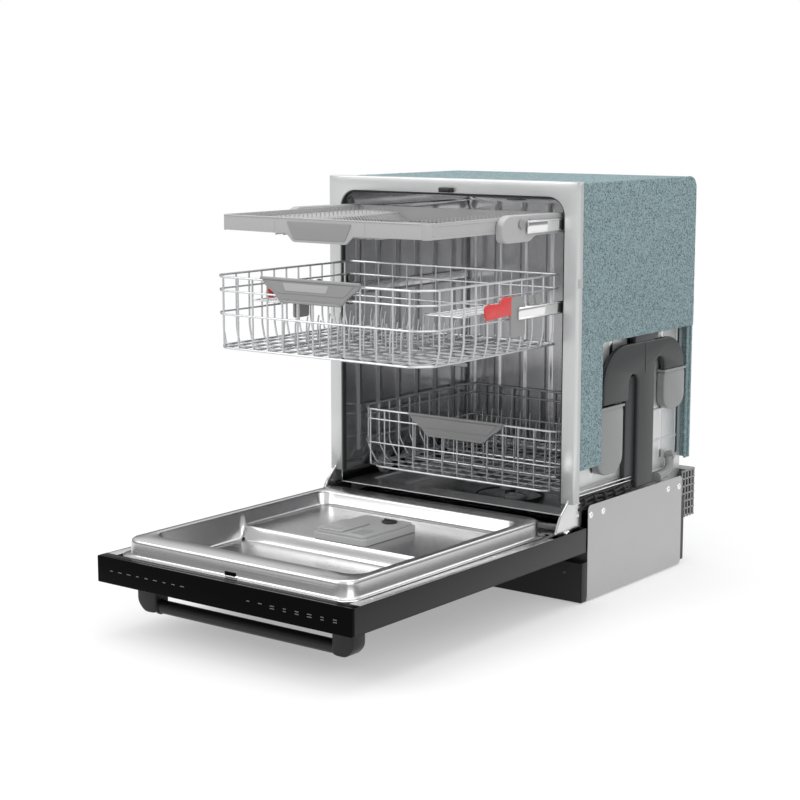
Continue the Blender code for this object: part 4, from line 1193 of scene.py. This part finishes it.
    def build_dispenser(self) -> None:
        """The dispenser: a stepped moulding with a lid, a cap with a grip and vent slots."""
        box = Box.of("dispenser_body")
        body = Shape()
        outline = rounded_rectangle(box.x0, box.x1, box.y0, box.y1, 9, 6)
        body.slab(outline, "Z", box.z0, box.z1 - 5, 1.5)
        inner = rounded_rectangle(box.x0 + 5, box.x1 - 5, box.y0 + 5, box.y1 - 5, 7, 6)
        body.slab(inner, "Z", box.z1 - 6, box.z1, 1.6)
        for index in range(6):
            x = box.x0 + 82 + index * 5.0
            body.bar((x - 1.2, x + 1.2), (box.y0 + 18, box.y0 + 52), (box.z1 - 0.2, box.z1 + 1.4), 0.5)
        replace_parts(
            body.build("dispenser_case", self.palette["light grey plastic"], "door"), "dispenser_body"
        )
        lid_box = Box.of("dispenser_lid")
        lid = Shape().slab(
            rounded_rectangle(lid_box.x0, lid_box.x1, lid_box.y0, lid_box.y1, 6, 6), "Z", lid_box.z0,
            lid_box.z1, 0.9
        )
        for index in range(4):
            y = lid_box.y0 + 10 + index * 4.0
            lid.bar(
                (lid_box.x0 + 14, lid_box.x1 - 14), (y - 0.9, y + 0.9),
                (lid_box.z1 - 0.2, lid_box.z1 + 0.9), 0.4
            )
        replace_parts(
            lid.build("dispenser_slide", self.palette["light grey plastic"], "dispenser_lid"),
            "dispenser_lid"
        )
        cap_box = Box.of("rinse_cap")
        x, y, _ = cap_box.middle()
        low = cap_box.z0
        cap = Shape().lathe(
            ((0.1, 0), (14.6, 0), (15, 0.6), (15, 2.6), (14, 3.4), (0.1, 3.2)), (x, y, low), "Z", 36
        )
        cap.bar((x - 12, x + 12), (y - 2, y + 2), (low + 2, cap_box.z1), 1.2)
        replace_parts(cap.build("rinse_cap_turned", self.palette["dark plastic"], "rinse_cap"), "rinse_cap")

    def dress(self) -> None:
        """Gives the CAD nodes that stay visible their materials."""
        dress(self.frame, "latch_pawl", self.palette["chrome"], 0.6)


# ---------------------------------------------------------------- racks


@dataclass
class WireBasket:
    """A basket of round wires: rings round a plan with cut-off front corners, and bent verticals."""

    half: float
    floor_half: float
    front: float
    back: float
    floor: float
    rings: tuple
    chamfer: float
    spread_top: float
    wire: float = 1.9
    ring_wire: float = 2.3

    def plan(self, half: float, height: float) -> np.ndarray:
        """The closed ring at one height."""
        cut = self.chamfer
        corners = [
            (-half, self.back), (-half, self.front + cut), (-half + cut, self.front),
            (half - cut, self.front), (half, self.front + cut), (half, self.back)
        ]
        flat = fillet(corners, 9, 4, True)
        return np.column_stack([flat, np.full(len(flat), height)])

    def half_at(self, height: float) -> float:
        """How wide the basket's wall is at a height."""
        share = np.clip((height - self.floor) / max(self.spread_top - self.floor, 1e-6), 0, 1)
        return float(self.floor_half + (self.half - self.floor_half) * share)

    def shape(self, pitch: float) -> Shape:
        """All the wires of the basket."""
        basket = Shape()
        top = self.rings[0]
        for height in self.rings:
            radius = self.ring_wire if height == top else self.wire
            basket.tube(self.plan(self.half_at(height), height), radius, (0, 0, 1), 8, True)
        basket.tube(self.plan(self.floor_half - 3, self.floor), self.ring_wire, (0, 0, 1), 8, True)
        inner = self.half - self.chamfer - 6
        for x in np.linspace(-inner, inner, int(2 * inner // pitch) + 1):
            path = fillet(
                [
                    (x, self.front, top), (x, self.front, self.floor + 4), (x, self.front + 10, self.floor),
                    (x, self.back - 10, self.floor), (x, self.back, self.floor + 4), (x, self.back, top)
                ],
                7, 4
            )
            basket.tube(path, self.wire, (1, 0, 0), 7)
        low, high = self.front + self.chamfer + 8, self.back - 20
        lean = self.half - self.floor_half
        for y in np.linspace(low, high, int((high - low) // pitch) + 1):
            side = [
                (self.half, y, top), (self.half, y, max(self.spread_top, self.floor + 6)),
                (self.floor_half - 2, y, self.floor + (0 if lean > 1 else 4)),
                (self.floor_half - 14, y, self.floor)
            ]
            path = np.array(side)
            mirror = path * np.array([-1, 1, 1])
            whole = fillet(np.concatenate([path, mirror[::-1]]), 7, 4)
            basket.tube(whole, self.wire, (0, 1, 0), 7)
        return basket


def grip_shape(box: Box) -> Shape:
    """A rack's grip: a trapezoid moulding with a hollow pull, a rolled upper edge and an inset."""
    low, high = box.z0, box.z1
    outline = [
        (-117, high), (117, high), (108, high - 14), (84, low + 15), (71, low), (-71, low), (-84, low + 15),
        (-108, high - 14)
    ]
    grip = Shape()
    grip.slab(fillet(outline, 8, 4, True), "Y", box.y0 + 3, box.y1, 1.2)
    inner = [(-104, high - 5), (104, high - 5), (80, low + 17), (-80, low + 17)]
    grip.slab(fillet(inner, 5, 4, True), "Y", box.y0 + 1.6, box.y0 + 4, 0.8)
    grip.tube(fillet([(-116, box.y0 + 3, high - 2), (116, box.y0 + 3, high - 2)], 1, 2), 3.0, (0, 0, 1), 12)
    grip.tube([(-70, box.y0 + 3, low + 2), (70, box.y0 + 3, low + 2)], 2.6, (0, 0, 1), 12)
    return grip


@dataclass
class UpperRack(Assembly):
    """The upper basket with its grip, rails, levers, cup shelves and spray arm."""

    def build(self) -> None:
        """Builds every piece of this sub-assembly."""
        box = Box.of("upper_basket")
        basket = WireBasket(
            half=box.x1 - 2, floor_half=box.x1 - 6, front=box.y0 + 2, back=box.y1 - 2, floor=box.z0 + 2,
            rings=(box.z1 - 2, box.z1 - 28, box.z1 - 72), chamfer=30, spread_top=box.z0 + 30,
        )
        shape = basket.shape(34.0)
        obj = shape.build("upper_wires", self.palette["coated wire"], "upper_rack")
        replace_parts(obj, "upper_basket")
        self.build_tines(box)
        grip_box = Box.of("upper_handle")
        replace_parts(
            grip_shape(grip_box).build("upper_grip", self.palette["grey plastic"], "upper_rack"),
            "upper_handle"
        )
        inset = Shape().slab(
            fillet(
                [
                    (-62, grip_box.z1 - 8), (46, grip_box.z1 - 8), (40, grip_box.z0 + 22),
                    (-56, grip_box.z0 + 22)
                ],
                3, 3, True
            ),
            "Y", grip_box.y0 + 0.6, grip_box.y0 + 2.2, 0.5
        )
        inset.build("upper_grip_inset", self.palette["light grey plastic"], "upper_rack")
        for side, hand in SIDES:
            self.build_side(side, hand)
        self.build_arm()

    def build_tines(self, box: Box) -> None:
        """Rows of bent tines standing on the floor wires."""
        tines = Shape()
        for x in (-120.0, -60.0, 10.0, 70.0, 130.0):
            for y in np.linspace(box.y0 + 60, box.y1 - 40, 11):
                path = [(x, y, box.z0 + 2), (x, y, box.z0 + 42), (x + 3, y, box.z0 + 56)]
                tines.tube(fillet(path, 5, 3), 1.6, (0, 1, 0), 6)
            tines.wire((x, box.y0 + 50, box.z0 + 5), (x, box.y1 - 30, box.z0 + 5), 2.0)
        tines.build("upper_tines", self.palette["coated wire"], "upper_rack")

    def build_side(self, side: int, hand: str) -> None:
        """One side's rail, roller bracket, red lever and cup shelf."""
        rail = Box.of("upper_rail_" + hand)
        low, high = 571.0, 594.0
        middle = (rail.x0 + rail.x1) / 2
        shape = Shape().bar((rail.x0, rail.x1), (rail.y0 + 20, rail.y1 - RAIL_CUT), (low, high), 1.2)
        for z in (low + 2, high - 2):
            shape.tube([(middle, rail.y0 + 22, z), (middle, rail.y1 - RAIL_CUT - 2, z)], 2.4, (0, 0, 1), 10)
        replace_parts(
            shape.build("upper_rail_%s_bar" % hand, self.palette["chrome"], "upper_rack"),
            "upper_rail_" + hand
        )
        bracket = Shape()
        outline = [
            (rail.y0, rail.z0), (rail.y0 + 46, rail.z0), (rail.y0 + 46, rail.z1 - 16),
            (rail.y0 + 34, rail.z1), (rail.y0, rail.z1)
        ]
        bracket.slab(fillet(outline, 6, 4, True), "X", *sorted((side * 257.6, side * 262.4)), 1.2)
        bracket.build("upper_bracket_" + hand, self.palette["grey plastic"], "upper_rack")
        rollers = Shape()
        for offset in (60.0, 84.0):
            profile = ((0.1, -2.5), (8, -2.5), (9, -1.5), (9, 1.5), (8, 2.5), (0.1, 2.5))
            rollers.lathe(profile, (side * 264.0, rail.y0 + offset, 603.5), "X", 24)
            rollers.screw((side * 266.6, rail.y0 + offset, 603.5), "X", side, 2.6)
        rollers.build("upper_rack_rollers_" + hand, self.palette["grey plastic"], "upper_rack")
        lever = Box.of("height_lever_" + hand)
        base = lever.y0 + 246
        outline = [
            (base - 246, 601), (base - 236, 607), (base - 198, 605), (base - 186, 616), (base - 140, 614),
            (base - 132, 566), (base - 148, 564), (base - 168, 582), (base - 240, 577)
        ]
        red = Shape().slab(fillet(outline, 5, 4, True), "X", lever.x0, lever.x1, 1.3)
        red.bar((lever.x0 - 0.3, lever.x1 + 0.3), (base - 244, base - 214), (584, 596), 1.4)
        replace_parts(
            red.build("lever_" + hand, self.palette["red plastic"], "height_lever_" + hand),
            "height_lever_" + hand
        )
        shelf = Box.of("cup_shelf_" + hand)
        comb = Shape()
        hinge = side * 248.0
        comb.tube([(hinge, shelf.y0 + 2, 588), (hinge, shelf.y1 - 2, 588)], 1.5, (0, 0, 1), 8)
        edge = side * 160.0
        comb.tube(
            fillet(
                [
                    (hinge, shelf.y0 + 4, 588), (edge, shelf.y0 + 4, 588), (edge, shelf.y1 - 4, 588),
                    (hinge, shelf.y1 - 4, 588)
                ],
                14, 6
            ),
            1.5, (0, 0, 1), 8
        )
        for y in np.linspace(shelf.y0 + 24, shelf.y1 - 24, 10):
            comb.wire((hinge, y, 588), (edge, y, 588), 1.3)
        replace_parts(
            comb.build("cup_wires_" + hand, self.palette["coated wire"], "cup_shelf_" + hand),
            "cup_shelf_" + hand
        )

    def build_arm(self) -> None:
        """The spray arm under the basket, with nozzles along its top."""
        spray_arm("upper_spray_arm", "upper_spray_arm", self.palette)


def spray_arm(node: str, body: str, palette: Palette) -> None:
    """A spray arm: a blade that thins to its tips, lofted from rounded sections, a hub and nozzles.

    The section at x is an ellipse of half-width 19 sqrt(1 - (x/reach)^6) and half-height 5.5 - 2.5
    (x/reach)^2.
    """
    box = Box.of(node)
    x, y, _ = box.middle()
    reach = (box.x1 - box.x0) / 2
    blade = box.z0 + (8.0 if box.z1 - box.z0 > 20 else 7.0)
    along = np.linspace(-0.999, 0.999, 49)
    width = 19.0 * np.sqrt(1 - along**6)
    height = 5.2 - 2.0 * along**2
    angle = np.linspace(0, 2 * math.pi, 24, endpoint=False)
    rings = np.stack([
        np.broadcast_to((x + along * reach)[:, None], (49, 24)),
        y + width[:, None] * np.cos(angle) + 3 * np.sin(along * math.pi)[:, None],
        blade + height[:, None] * np.sin(angle),
    ], axis=-1)
    arm = Shape().skin(rings)
    hub = (
        (0.1, 0), (19, 0), (21.5, 2), (21.5, box.z1 - box.z0 - 3), (19, box.z1 - box.z0),
        (0.1, box.z1 - box.z0)
    )
    arm.lathe(hub, (x, y, box.z0), "Z", 32)
    for share in np.linspace(-0.9, 0.9, 11):
        if abs(share) > 0.2:
            spot = (x + share * reach, y + 6 * (1 if share > 0 else -1), blade + 3.4)
            arm.lathe(((0.1, 0), (4.2, 0), (3.4, 1.9), (1.6, 2.1), (1.4, 0.8), (0.1, 0.8)), spot, "Z", 14)
    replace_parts(arm.build(node + "_blade", palette["grey plastic"], body), node)


@dataclass
class ThirdRack(Assembly):
    """The shallow cutlery rack: a moulded band round wire trays, on chrome rails."""

    def build(self) -> None:
        """Builds every piece of this sub-assembly."""
        box = Box.of("third_rack_frame")
        self.build_band(box)
        self.build_tray(Box.of("cutlery_tray"))
        for side, hand in SIDES:
            self.build_side(side, hand, box)

    def build_band(self, box: Box) -> None:
        """The band: front, sides and back strips, with the grip dipping in the middle of the front."""
        half, top, low = 241.0, box.z1, 729.0
        front, back = box.y0 + 4.0, box.y1
        band = Shape()
        dip = [
            (-106, low), (-78, low), (-62, 714), (62, 714), (78, low), (106, low), (half - 10, low + 1),
            (half - 10, top), (-half + 10, top), (-half + 10, low + 1)
        ]
        band.slab(fillet(dip, 4, 3, True), "Y", front - 2.0, front + 2.2, 1.0)
        for side in (-1, 1):
            corner = [
                (side * (half - 11), front - 1.5), (side * half, front + 9), (side * half, front + 14),
                (side * (half - 3), front + 14), (side * (half - 3), front + 10),
                (side * (half - 12), front + 2)
            ]
            band.slab(fillet(corner, 1.2, 2, True), "Z", low, top, 0.8)
            band.bar((side * (half - 3), side * half), (front + 12, back), (low, top), 0.9)
            for z in (low + 7, top - 5):
                band.tube([(side * half, front + 16, z), (side * half, back - 4, z)], 1.1, (0, 0, 1), 8)
            band.bar((side * 104.4, side * 105.6), (front - 2.5, front), (low, top), 0.3)
        band.bar((-half, half), (back - 3, back), (low, top), 0.9)
        band.tube([(-half + 12, front - 1.6, top - 1), (half - 12, front - 1.6, top - 1)], 1.6, (0, 0, 1), 10)
        obj = band.build("third_band", self.palette["light grey plastic"], "third_rack")
        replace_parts(obj, "third_rack_frame")
        grip = Shape().slab(
            fillet([(-76, top - 7), (76, top - 7), (60, 719), (-60, 719)], 5, 4, True), "Y", front - 3.6,
            front - 1.5, 0.8
        )
        grip.build("third_grip", self.palette["grey plastic"], "third_rack")

    def build_tray(self, box: Box) -> None:
        """The trays: fine cross wires over long ones, high at the sides and low in the middle."""
        tray = Shape()
        high, low, inner = box.z1 - 2, box.z0 + 2, 118.0
        profile = [
            (box.x0 + 2, high), (-inner - 18, high - 2), (-inner, low), (inner, low),
            (inner + 18, high - 2), (box.x1 - 2, high)
        ]
        for y in np.linspace(box.y0 + 3, box.y1 - 3, 46):
            path = fillet([(x, y, z) for x, z in profile], 8, 3)
            tray.tube(path, 1.15, (0, 1, 0), 6)
        for x in np.linspace(box.x0 + 3, box.x1 - 3, 25):
            z = float(np.interp(x, [point[0] for point in profile], [point[1] for point in profile]))
            tray.wire((x, box.y0 + 1, z - 1.6), (x, box.y1 - 1, z - 1.6), 1.3)
        obj = tray.build("cutlery_grid", self.palette["light grey plastic"], "third_rack")
        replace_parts(obj, "cutlery_tray")
        combs = Shape()
        for side in (-1, 1):
            for offset in (150.0, 205.0):
                for y in np.linspace(box.y0 + 16, box.y1 - 16, 30):
                    combs.wire((side * offset, y, high), (side * offset, y, high + 8), 1.0)
        combs.build("cutlery_combs", self.palette["light grey plastic"], "third_rack")

    def build_side(self, side: int, hand: str, box: Box) -> None:
        """One side's carrier lobe, chrome rail and its rollers."""
        start = box.y0 + 209.0
        carrier = Shape()
        outline = [
            (start, 718), (start + 12, 711.5), (start + 90, 711.5), (start + 105, 722), (box.y1, 722),
            (box.y1, box.z1 + 2), (start + 20, box.z1 + 4), (start, box.z1 - 8)
        ]
        carrier.slab(fillet(outline, 10, 5, True), "X", *sorted((side * 241.5, side * 259.0)), 2.5)
        carrier.build("third_carrier_" + hand, self.palette["light grey plastic"], "third_rack")
        rail = Box.of("third_rail_" + hand)
        shape = Shape().bar((rail.x0, rail.x1), (rail.y0 + 34, rail.y1 - RAIL_CUT), (727, 751), 1.2)
        middle = (rail.x0 + rail.x1) / 2
        for z in (729.5, 748.5):
            shape.tube([(middle, rail.y0 + 36, z), (middle, rail.y1 - RAIL_CUT - 2, z)], 2.3, (0, 0, 1), 10)
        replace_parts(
            shape.build("third_rail_%s_bar" % hand, self.palette["chrome"], "third_rack"),
            "third_rail_" + hand
        )
        rollers = Shape()
        for offset in (20.0, 52.0):
            rollers.lathe(
                ((0.1, -2), (8, -2), (9, -1), (9, 1), (8, 2), (0.1, 2)),
                (side * 261.0, rail.y0 + offset, 745.0), "X", 24
            )
        rollers.build("third_rollers_" + hand, self.palette["grey plastic"], "third_rack")


@dataclass
class LowerRack(Assembly):
    """The lower basket with its grip, folding tines and spoked wheels."""

    def build(self) -> None:
        """Builds every piece of this sub-assembly."""
        box = Box.of("lower_basket")
        axle = Box.of("wheel_left_front").middle()[2]
        basket = WireBasket(
            half=box.x1 - 2, floor_half=238.0, front=box.y0 + 2, back=box.y1 - 2, floor=214.0,
            rings=(box.z1 - 2, box.z1 - 22, box.z1 - 72), chamfer=30, spread_top=248.0,
        )
        shape = basket.shape(36.0)
        for side, hand in SIDES:
            for place in ("front", "middle", "rear"):
                y = Box.of("wheel_%s_%s" % (hand, place)).middle()[1]
                bend = fillet(
                    [(side * 236, y - 12, 214), (side * 240, y, axle), (side * 236, y + 12, 214)], 6, 4
                )
                shape.tube(bend, 2.6, (1, 0, 0), 8)
                shape.wire((side * 239, y, axle), (side * 247, y, axle), 4.0, 12)
        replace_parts(shape.build("lower_wires", self.palette["coated wire"], "lower_rack"), "lower_basket")
        grip = Box.of("lower_handle")
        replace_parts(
            grip_shape(grip).build("lower_grip", self.palette["grey plastic"], "lower_rack"), "lower_handle"
        )
        self.build_tines()
        for _, hand in SIDES:
            for place in ("front", "middle", "rear"):
                self.build_wheel("wheel_%s_%s" % (hand, place))

    def build_tines(self) -> None:
        """The folding tines on their rod, and two fixed rows."""
        box = Box.of("plate_tines")
        x0, x1, y = box.x0 + 2, box.x1 - 2, (box.y0 + box.y1) / 2
        rod, top = box.z0 + 2.2, box.z1 - 2
        comb = Shape().wire((x0, y, rod), (x1, y, rod), 2.2, 8)
        for x in np.linspace(x0 + 2, x1 - 2, 15):
            comb.tube(fillet([(x, y, rod), (x, y, top - 12), (x, y + 2, top)], 6, 3), 1.9, (1, 0, 0), 7)
        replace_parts(comb.build("tine_comb", self.palette["coated wire"], "plate_tines"), "plate_tines")
        fixed = Shape()
        for offset in (-120.0, 130.0):
            fixed.wire((x0, y + offset, rod), (x1, y + offset, rod), 2.2, 8)
            for x in np.linspace(x0 + 2, x1 - 2, 15):
                fixed.tube(
                    fillet(
                        [(x, y + offset, rod), (x, y + offset, top - 20), (x, y + offset + 2, top - 8)], 6,
                        3
                    ),
                    1.9, (1, 0, 0), 7
                )
        fixed.build("fixed_tines", self.palette["coated wire"], "lower_rack")

    def build_wheel(self, node: str) -> None:
        """A wheel: a tyre ring, six spokes and a hub."""
        box = Box.of(node)
        x, y, z = box.middle()
        radius = (box.z1 - box.z0) / 2
        wheel = Shape()
        angle = np.linspace(0, 2 * math.pi, 40, endpoint=False)
        section = [
            (radius - 5.0, -5), (radius - 1.0, -5), (radius, -3.8), (radius, 3.8), (radius - 1.0, 5),
            (radius - 5.0, 5)
        ]
        rings = np.array(
            [[(x + side, y + r * math.cos(a), z + r * math.sin(a)) for r, side in section] for a in angle]
        )
        wheel.add(rings, grid_faces(41, 6, True) % (40 * 6))
        wheel.lathe(
            ((0.1, -5.4), (5.5, -5.4), (6.5, -4.4), (6.5, 4.4), (5.5, 5.4), (0.1, 5.4)), (x, y, z), "X", 24
        )
        for turn in np.arange(6) * math.pi / 3:
            way = np.array([0, math.cos(turn), math.sin(turn)])
            centre = np.array([x, y, z])
            wheel.tube([centre + way * 5, centre + way * (radius - 4)], 2.0, (1, 0, 0), 8)
        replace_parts(wheel.build(node + "_spoked", self.palette["grey plastic"], node), node)


@dataclass
class WetParts(Assembly):
    """The spray arms in the tub and the filter."""

    def build(self) -> None:
        """Builds every piece of this sub-assembly."""
        for node in ("lower_spray_arm", "top_spray_arm"):
            spray_arm(node, node, self.palette)
        box = Box.of("filter")
        x, y, _ = box.middle()
        strainer = Shape()
        height = box.z1 - box.z0
        strainer.lathe(
            (
                (0.1, height), (21, height), (24, height - 2), (24, height - 6), (21.5, height - 7),
                (21.5, 0), (0.1, 0)
            )[::-1],
            (x, y, box.z0), "Z", 36
        )
        for rise in np.linspace(4, height - 10, 9):
            strainer.lathe(((21.4, rise), (22.8, rise + 0.8), (21.4, rise + 1.6)), (x, y, box.z0), "Z", 36)
        for turn in (0.0, math.pi / 2):
            way = np.array([math.cos(turn), math.sin(turn), 0]) * 17
            strainer.wire(np.array([x, y, box.z1]) - way, np.array([x, y, box.z1]) + way, 2.4, 8)
        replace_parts(strainer.build("filter_mesh", self.palette["grey plastic"], "filter"), "filter")

    def dress(self) -> None:
        """Gives the CAD nodes that stay visible their materials."""
        for node in ("upper_runner", "third_runner"):
            dress(self.frame, node, self.palette["grey plastic"], 0.5)


# ---------------------------------------------------------------- studio


@dataclass(frozen=True)
class Studio:
    """Floor, lights and camera."""

    camera_place: tuple = (2.0971, -2.8151, 0.9568)
    azimuth: float = 37.37
    pitch: float = 9.18
    lens: float = 81.7

    def build(self, palette: Palette) -> None:
        """Lays the floor, hangs the lights and aims the camera."""
        self.floor(palette)
        self.world()
        bpy.context.scene.view_settings.view_transform = "Standard"
        self.area("key", (-1.6, -2.6, 2.9), (58, 0, -32), 2.4, 50)
        self.area("fill", (3.0, -1.2, 1.8), (68, 0, 66), 2.2, 26)
        self.area("top", (0.0, 0.2, 3.2), (0, 0, 0), 2.6, 36)
        self.area("rear", (0.8, 3.2, 2.2), (-62, 0, 0), 2.0, 18)
        self.camera()

    def floor(self, palette: Palette) -> None:
        """A wide pale floor."""
        bpy.ops.mesh.primitive_plane_add(size=40, location=(0, 0, 0))
        plane = bpy.context.object
        plane.name = "floor"
        plane.data.materials.append(palette["floor"])
        self.fade_to_white(palette["floor"])

    @staticmethod
    def fade_to_white(material: bpy.types.Material) -> None:
        """Turns the floor into plain white light away from the machine, so that it has no horizon."""
        tree = material.node_tree
        place = tree.nodes.new("ShaderNodeTexCoord")
        length = tree.nodes.new("ShaderNodeVectorMath")
        length.operation = "LENGTH"
        span = tree.nodes.new("ShaderNodeMapRange")
        span.interpolation_type = "SMOOTHSTEP"
        span.inputs["From Min"].default_value = 0.2
        span.inputs["From Max"].default_value = 1.8
        span.inputs["To Min"].default_value = 0.35
        light = tree.nodes.new("ShaderNodeEmission")
        mix = tree.nodes.new("ShaderNodeMixShader")
        output = next(node for node in tree.nodes if node.type == "OUTPUT_MATERIAL")
        surface = output.inputs["Surface"].links[0].from_socket
        tree.links.new(place.outputs["Object"], length.inputs[0])
        tree.links.new(length.outputs["Value"], span.inputs["Value"])
        tree.links.new(span.outputs["Result"], mix.inputs["Fac"])
        tree.links.new(surface, mix.inputs[1])
        tree.links.new(light.outputs["Emission"], mix.inputs[2])
        tree.links.new(mix.outputs["Shader"], output.inputs["Surface"])

    @staticmethod
    def world() -> None:
        """A soft white surround."""
        world = bpy.data.worlds.new("surround")
        world.use_nodes = True
        tree = world.node_tree
        seen = tree.nodes["Background"]
        seen.inputs["Color"].default_value = (1.0, 1.0, 1.0, 1.0)
        surround = tree.nodes.new("ShaderNodeBackground")
        surround.inputs["Strength"].default_value = 0.95
        place = tree.nodes.new("ShaderNodeTexCoord")
        parts = tree.nodes.new("ShaderNodeSeparateXYZ")
        ramp = tree.nodes.new("ShaderNodeValToRGB")
        bands = ((0.0, 0.10), (0.47, 0.42), (0.56, 0.16), (0.66, 0.62), (0.80, 1.0), (1.0, 0.85))
        span = tree.nodes.new("ShaderNodeMapRange")
        span.inputs["From Min"].default_value = -1.0
        for element, (position, level) in zip(ramp.color_ramp.elements, bands[::5]):
            element.position = position
            element.color = (level, level, level, 1.0)
        for position, level in bands[1:-1]:
            ramp.color_ramp.elements.new(position).color = (level, level, level, 1.0)
        rays = tree.nodes.new("ShaderNodeLightPath")
        choice = tree.nodes.new("ShaderNodeMixShader")
        tree.links.new(place.outputs["Generated"], parts.inputs["Vector"])
        tree.links.new(parts.outputs["Z"], span.inputs["Value"])
        tree.links.new(span.outputs["Result"], ramp.inputs["Fac"])
        tree.links.new(ramp.outputs["Color"], surround.inputs["Color"])
        tree.links.new(rays.outputs["Is Camera Ray"], choice.inputs["Fac"])
        tree.links.new(surround.outputs["Background"], choice.inputs[1])
        tree.links.new(seen.outputs["Background"], choice.inputs[2])
        tree.links.new(choice.outputs["Shader"], tree.nodes["World Output"].inputs["Surface"])
        bpy.context.scene.world = world

    @staticmethod
    def area(name: str, place: tuple, turn: tuple, size: float, power: float) -> None:
        """One soft square light, turned by Euler degrees."""
        data = bpy.data.lights.new(name, "AREA")
        data.size = size
        data.energy = power
        lamp = bpy.data.objects.new(name, data)
        lamp.location = place
        lamp.rotation_euler = Euler([math.radians(angle) for angle in turn])
        bpy.context.scene.collection.objects.link(lamp)

    def camera(self) -> None:
        """A long lens from the front right, a little above the machine."""
        data = bpy.data.cameras.new("camera")
        data.lens = self.lens
        data.sensor_width = 36
        data.clip_end = 100
        camera = bpy.data.objects.new("camera", data)
        camera.location = self.camera_place
        camera.rotation_euler = Euler((math.radians(90 - self.pitch), 0, math.radians(self.azimuth)))
        bpy.context.scene.collection.objects.link(camera)
        bpy.context.scene.camera = camera


def main() -> None:
    """Builds every sub-assembly in order."""
    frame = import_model()
    palette = Palette()
    for kind in (Case, Door, UpperRack, ThirdRack, LowerRack, WetParts):
        assembly = kind(frame, palette)
        assembly.build()
        assembly.dress()
        log.info("built %s", kind.__name__)
    Studio().build(palette)
    bpy.context.view_layer.update()


if __name__ == "__main__":
    main()
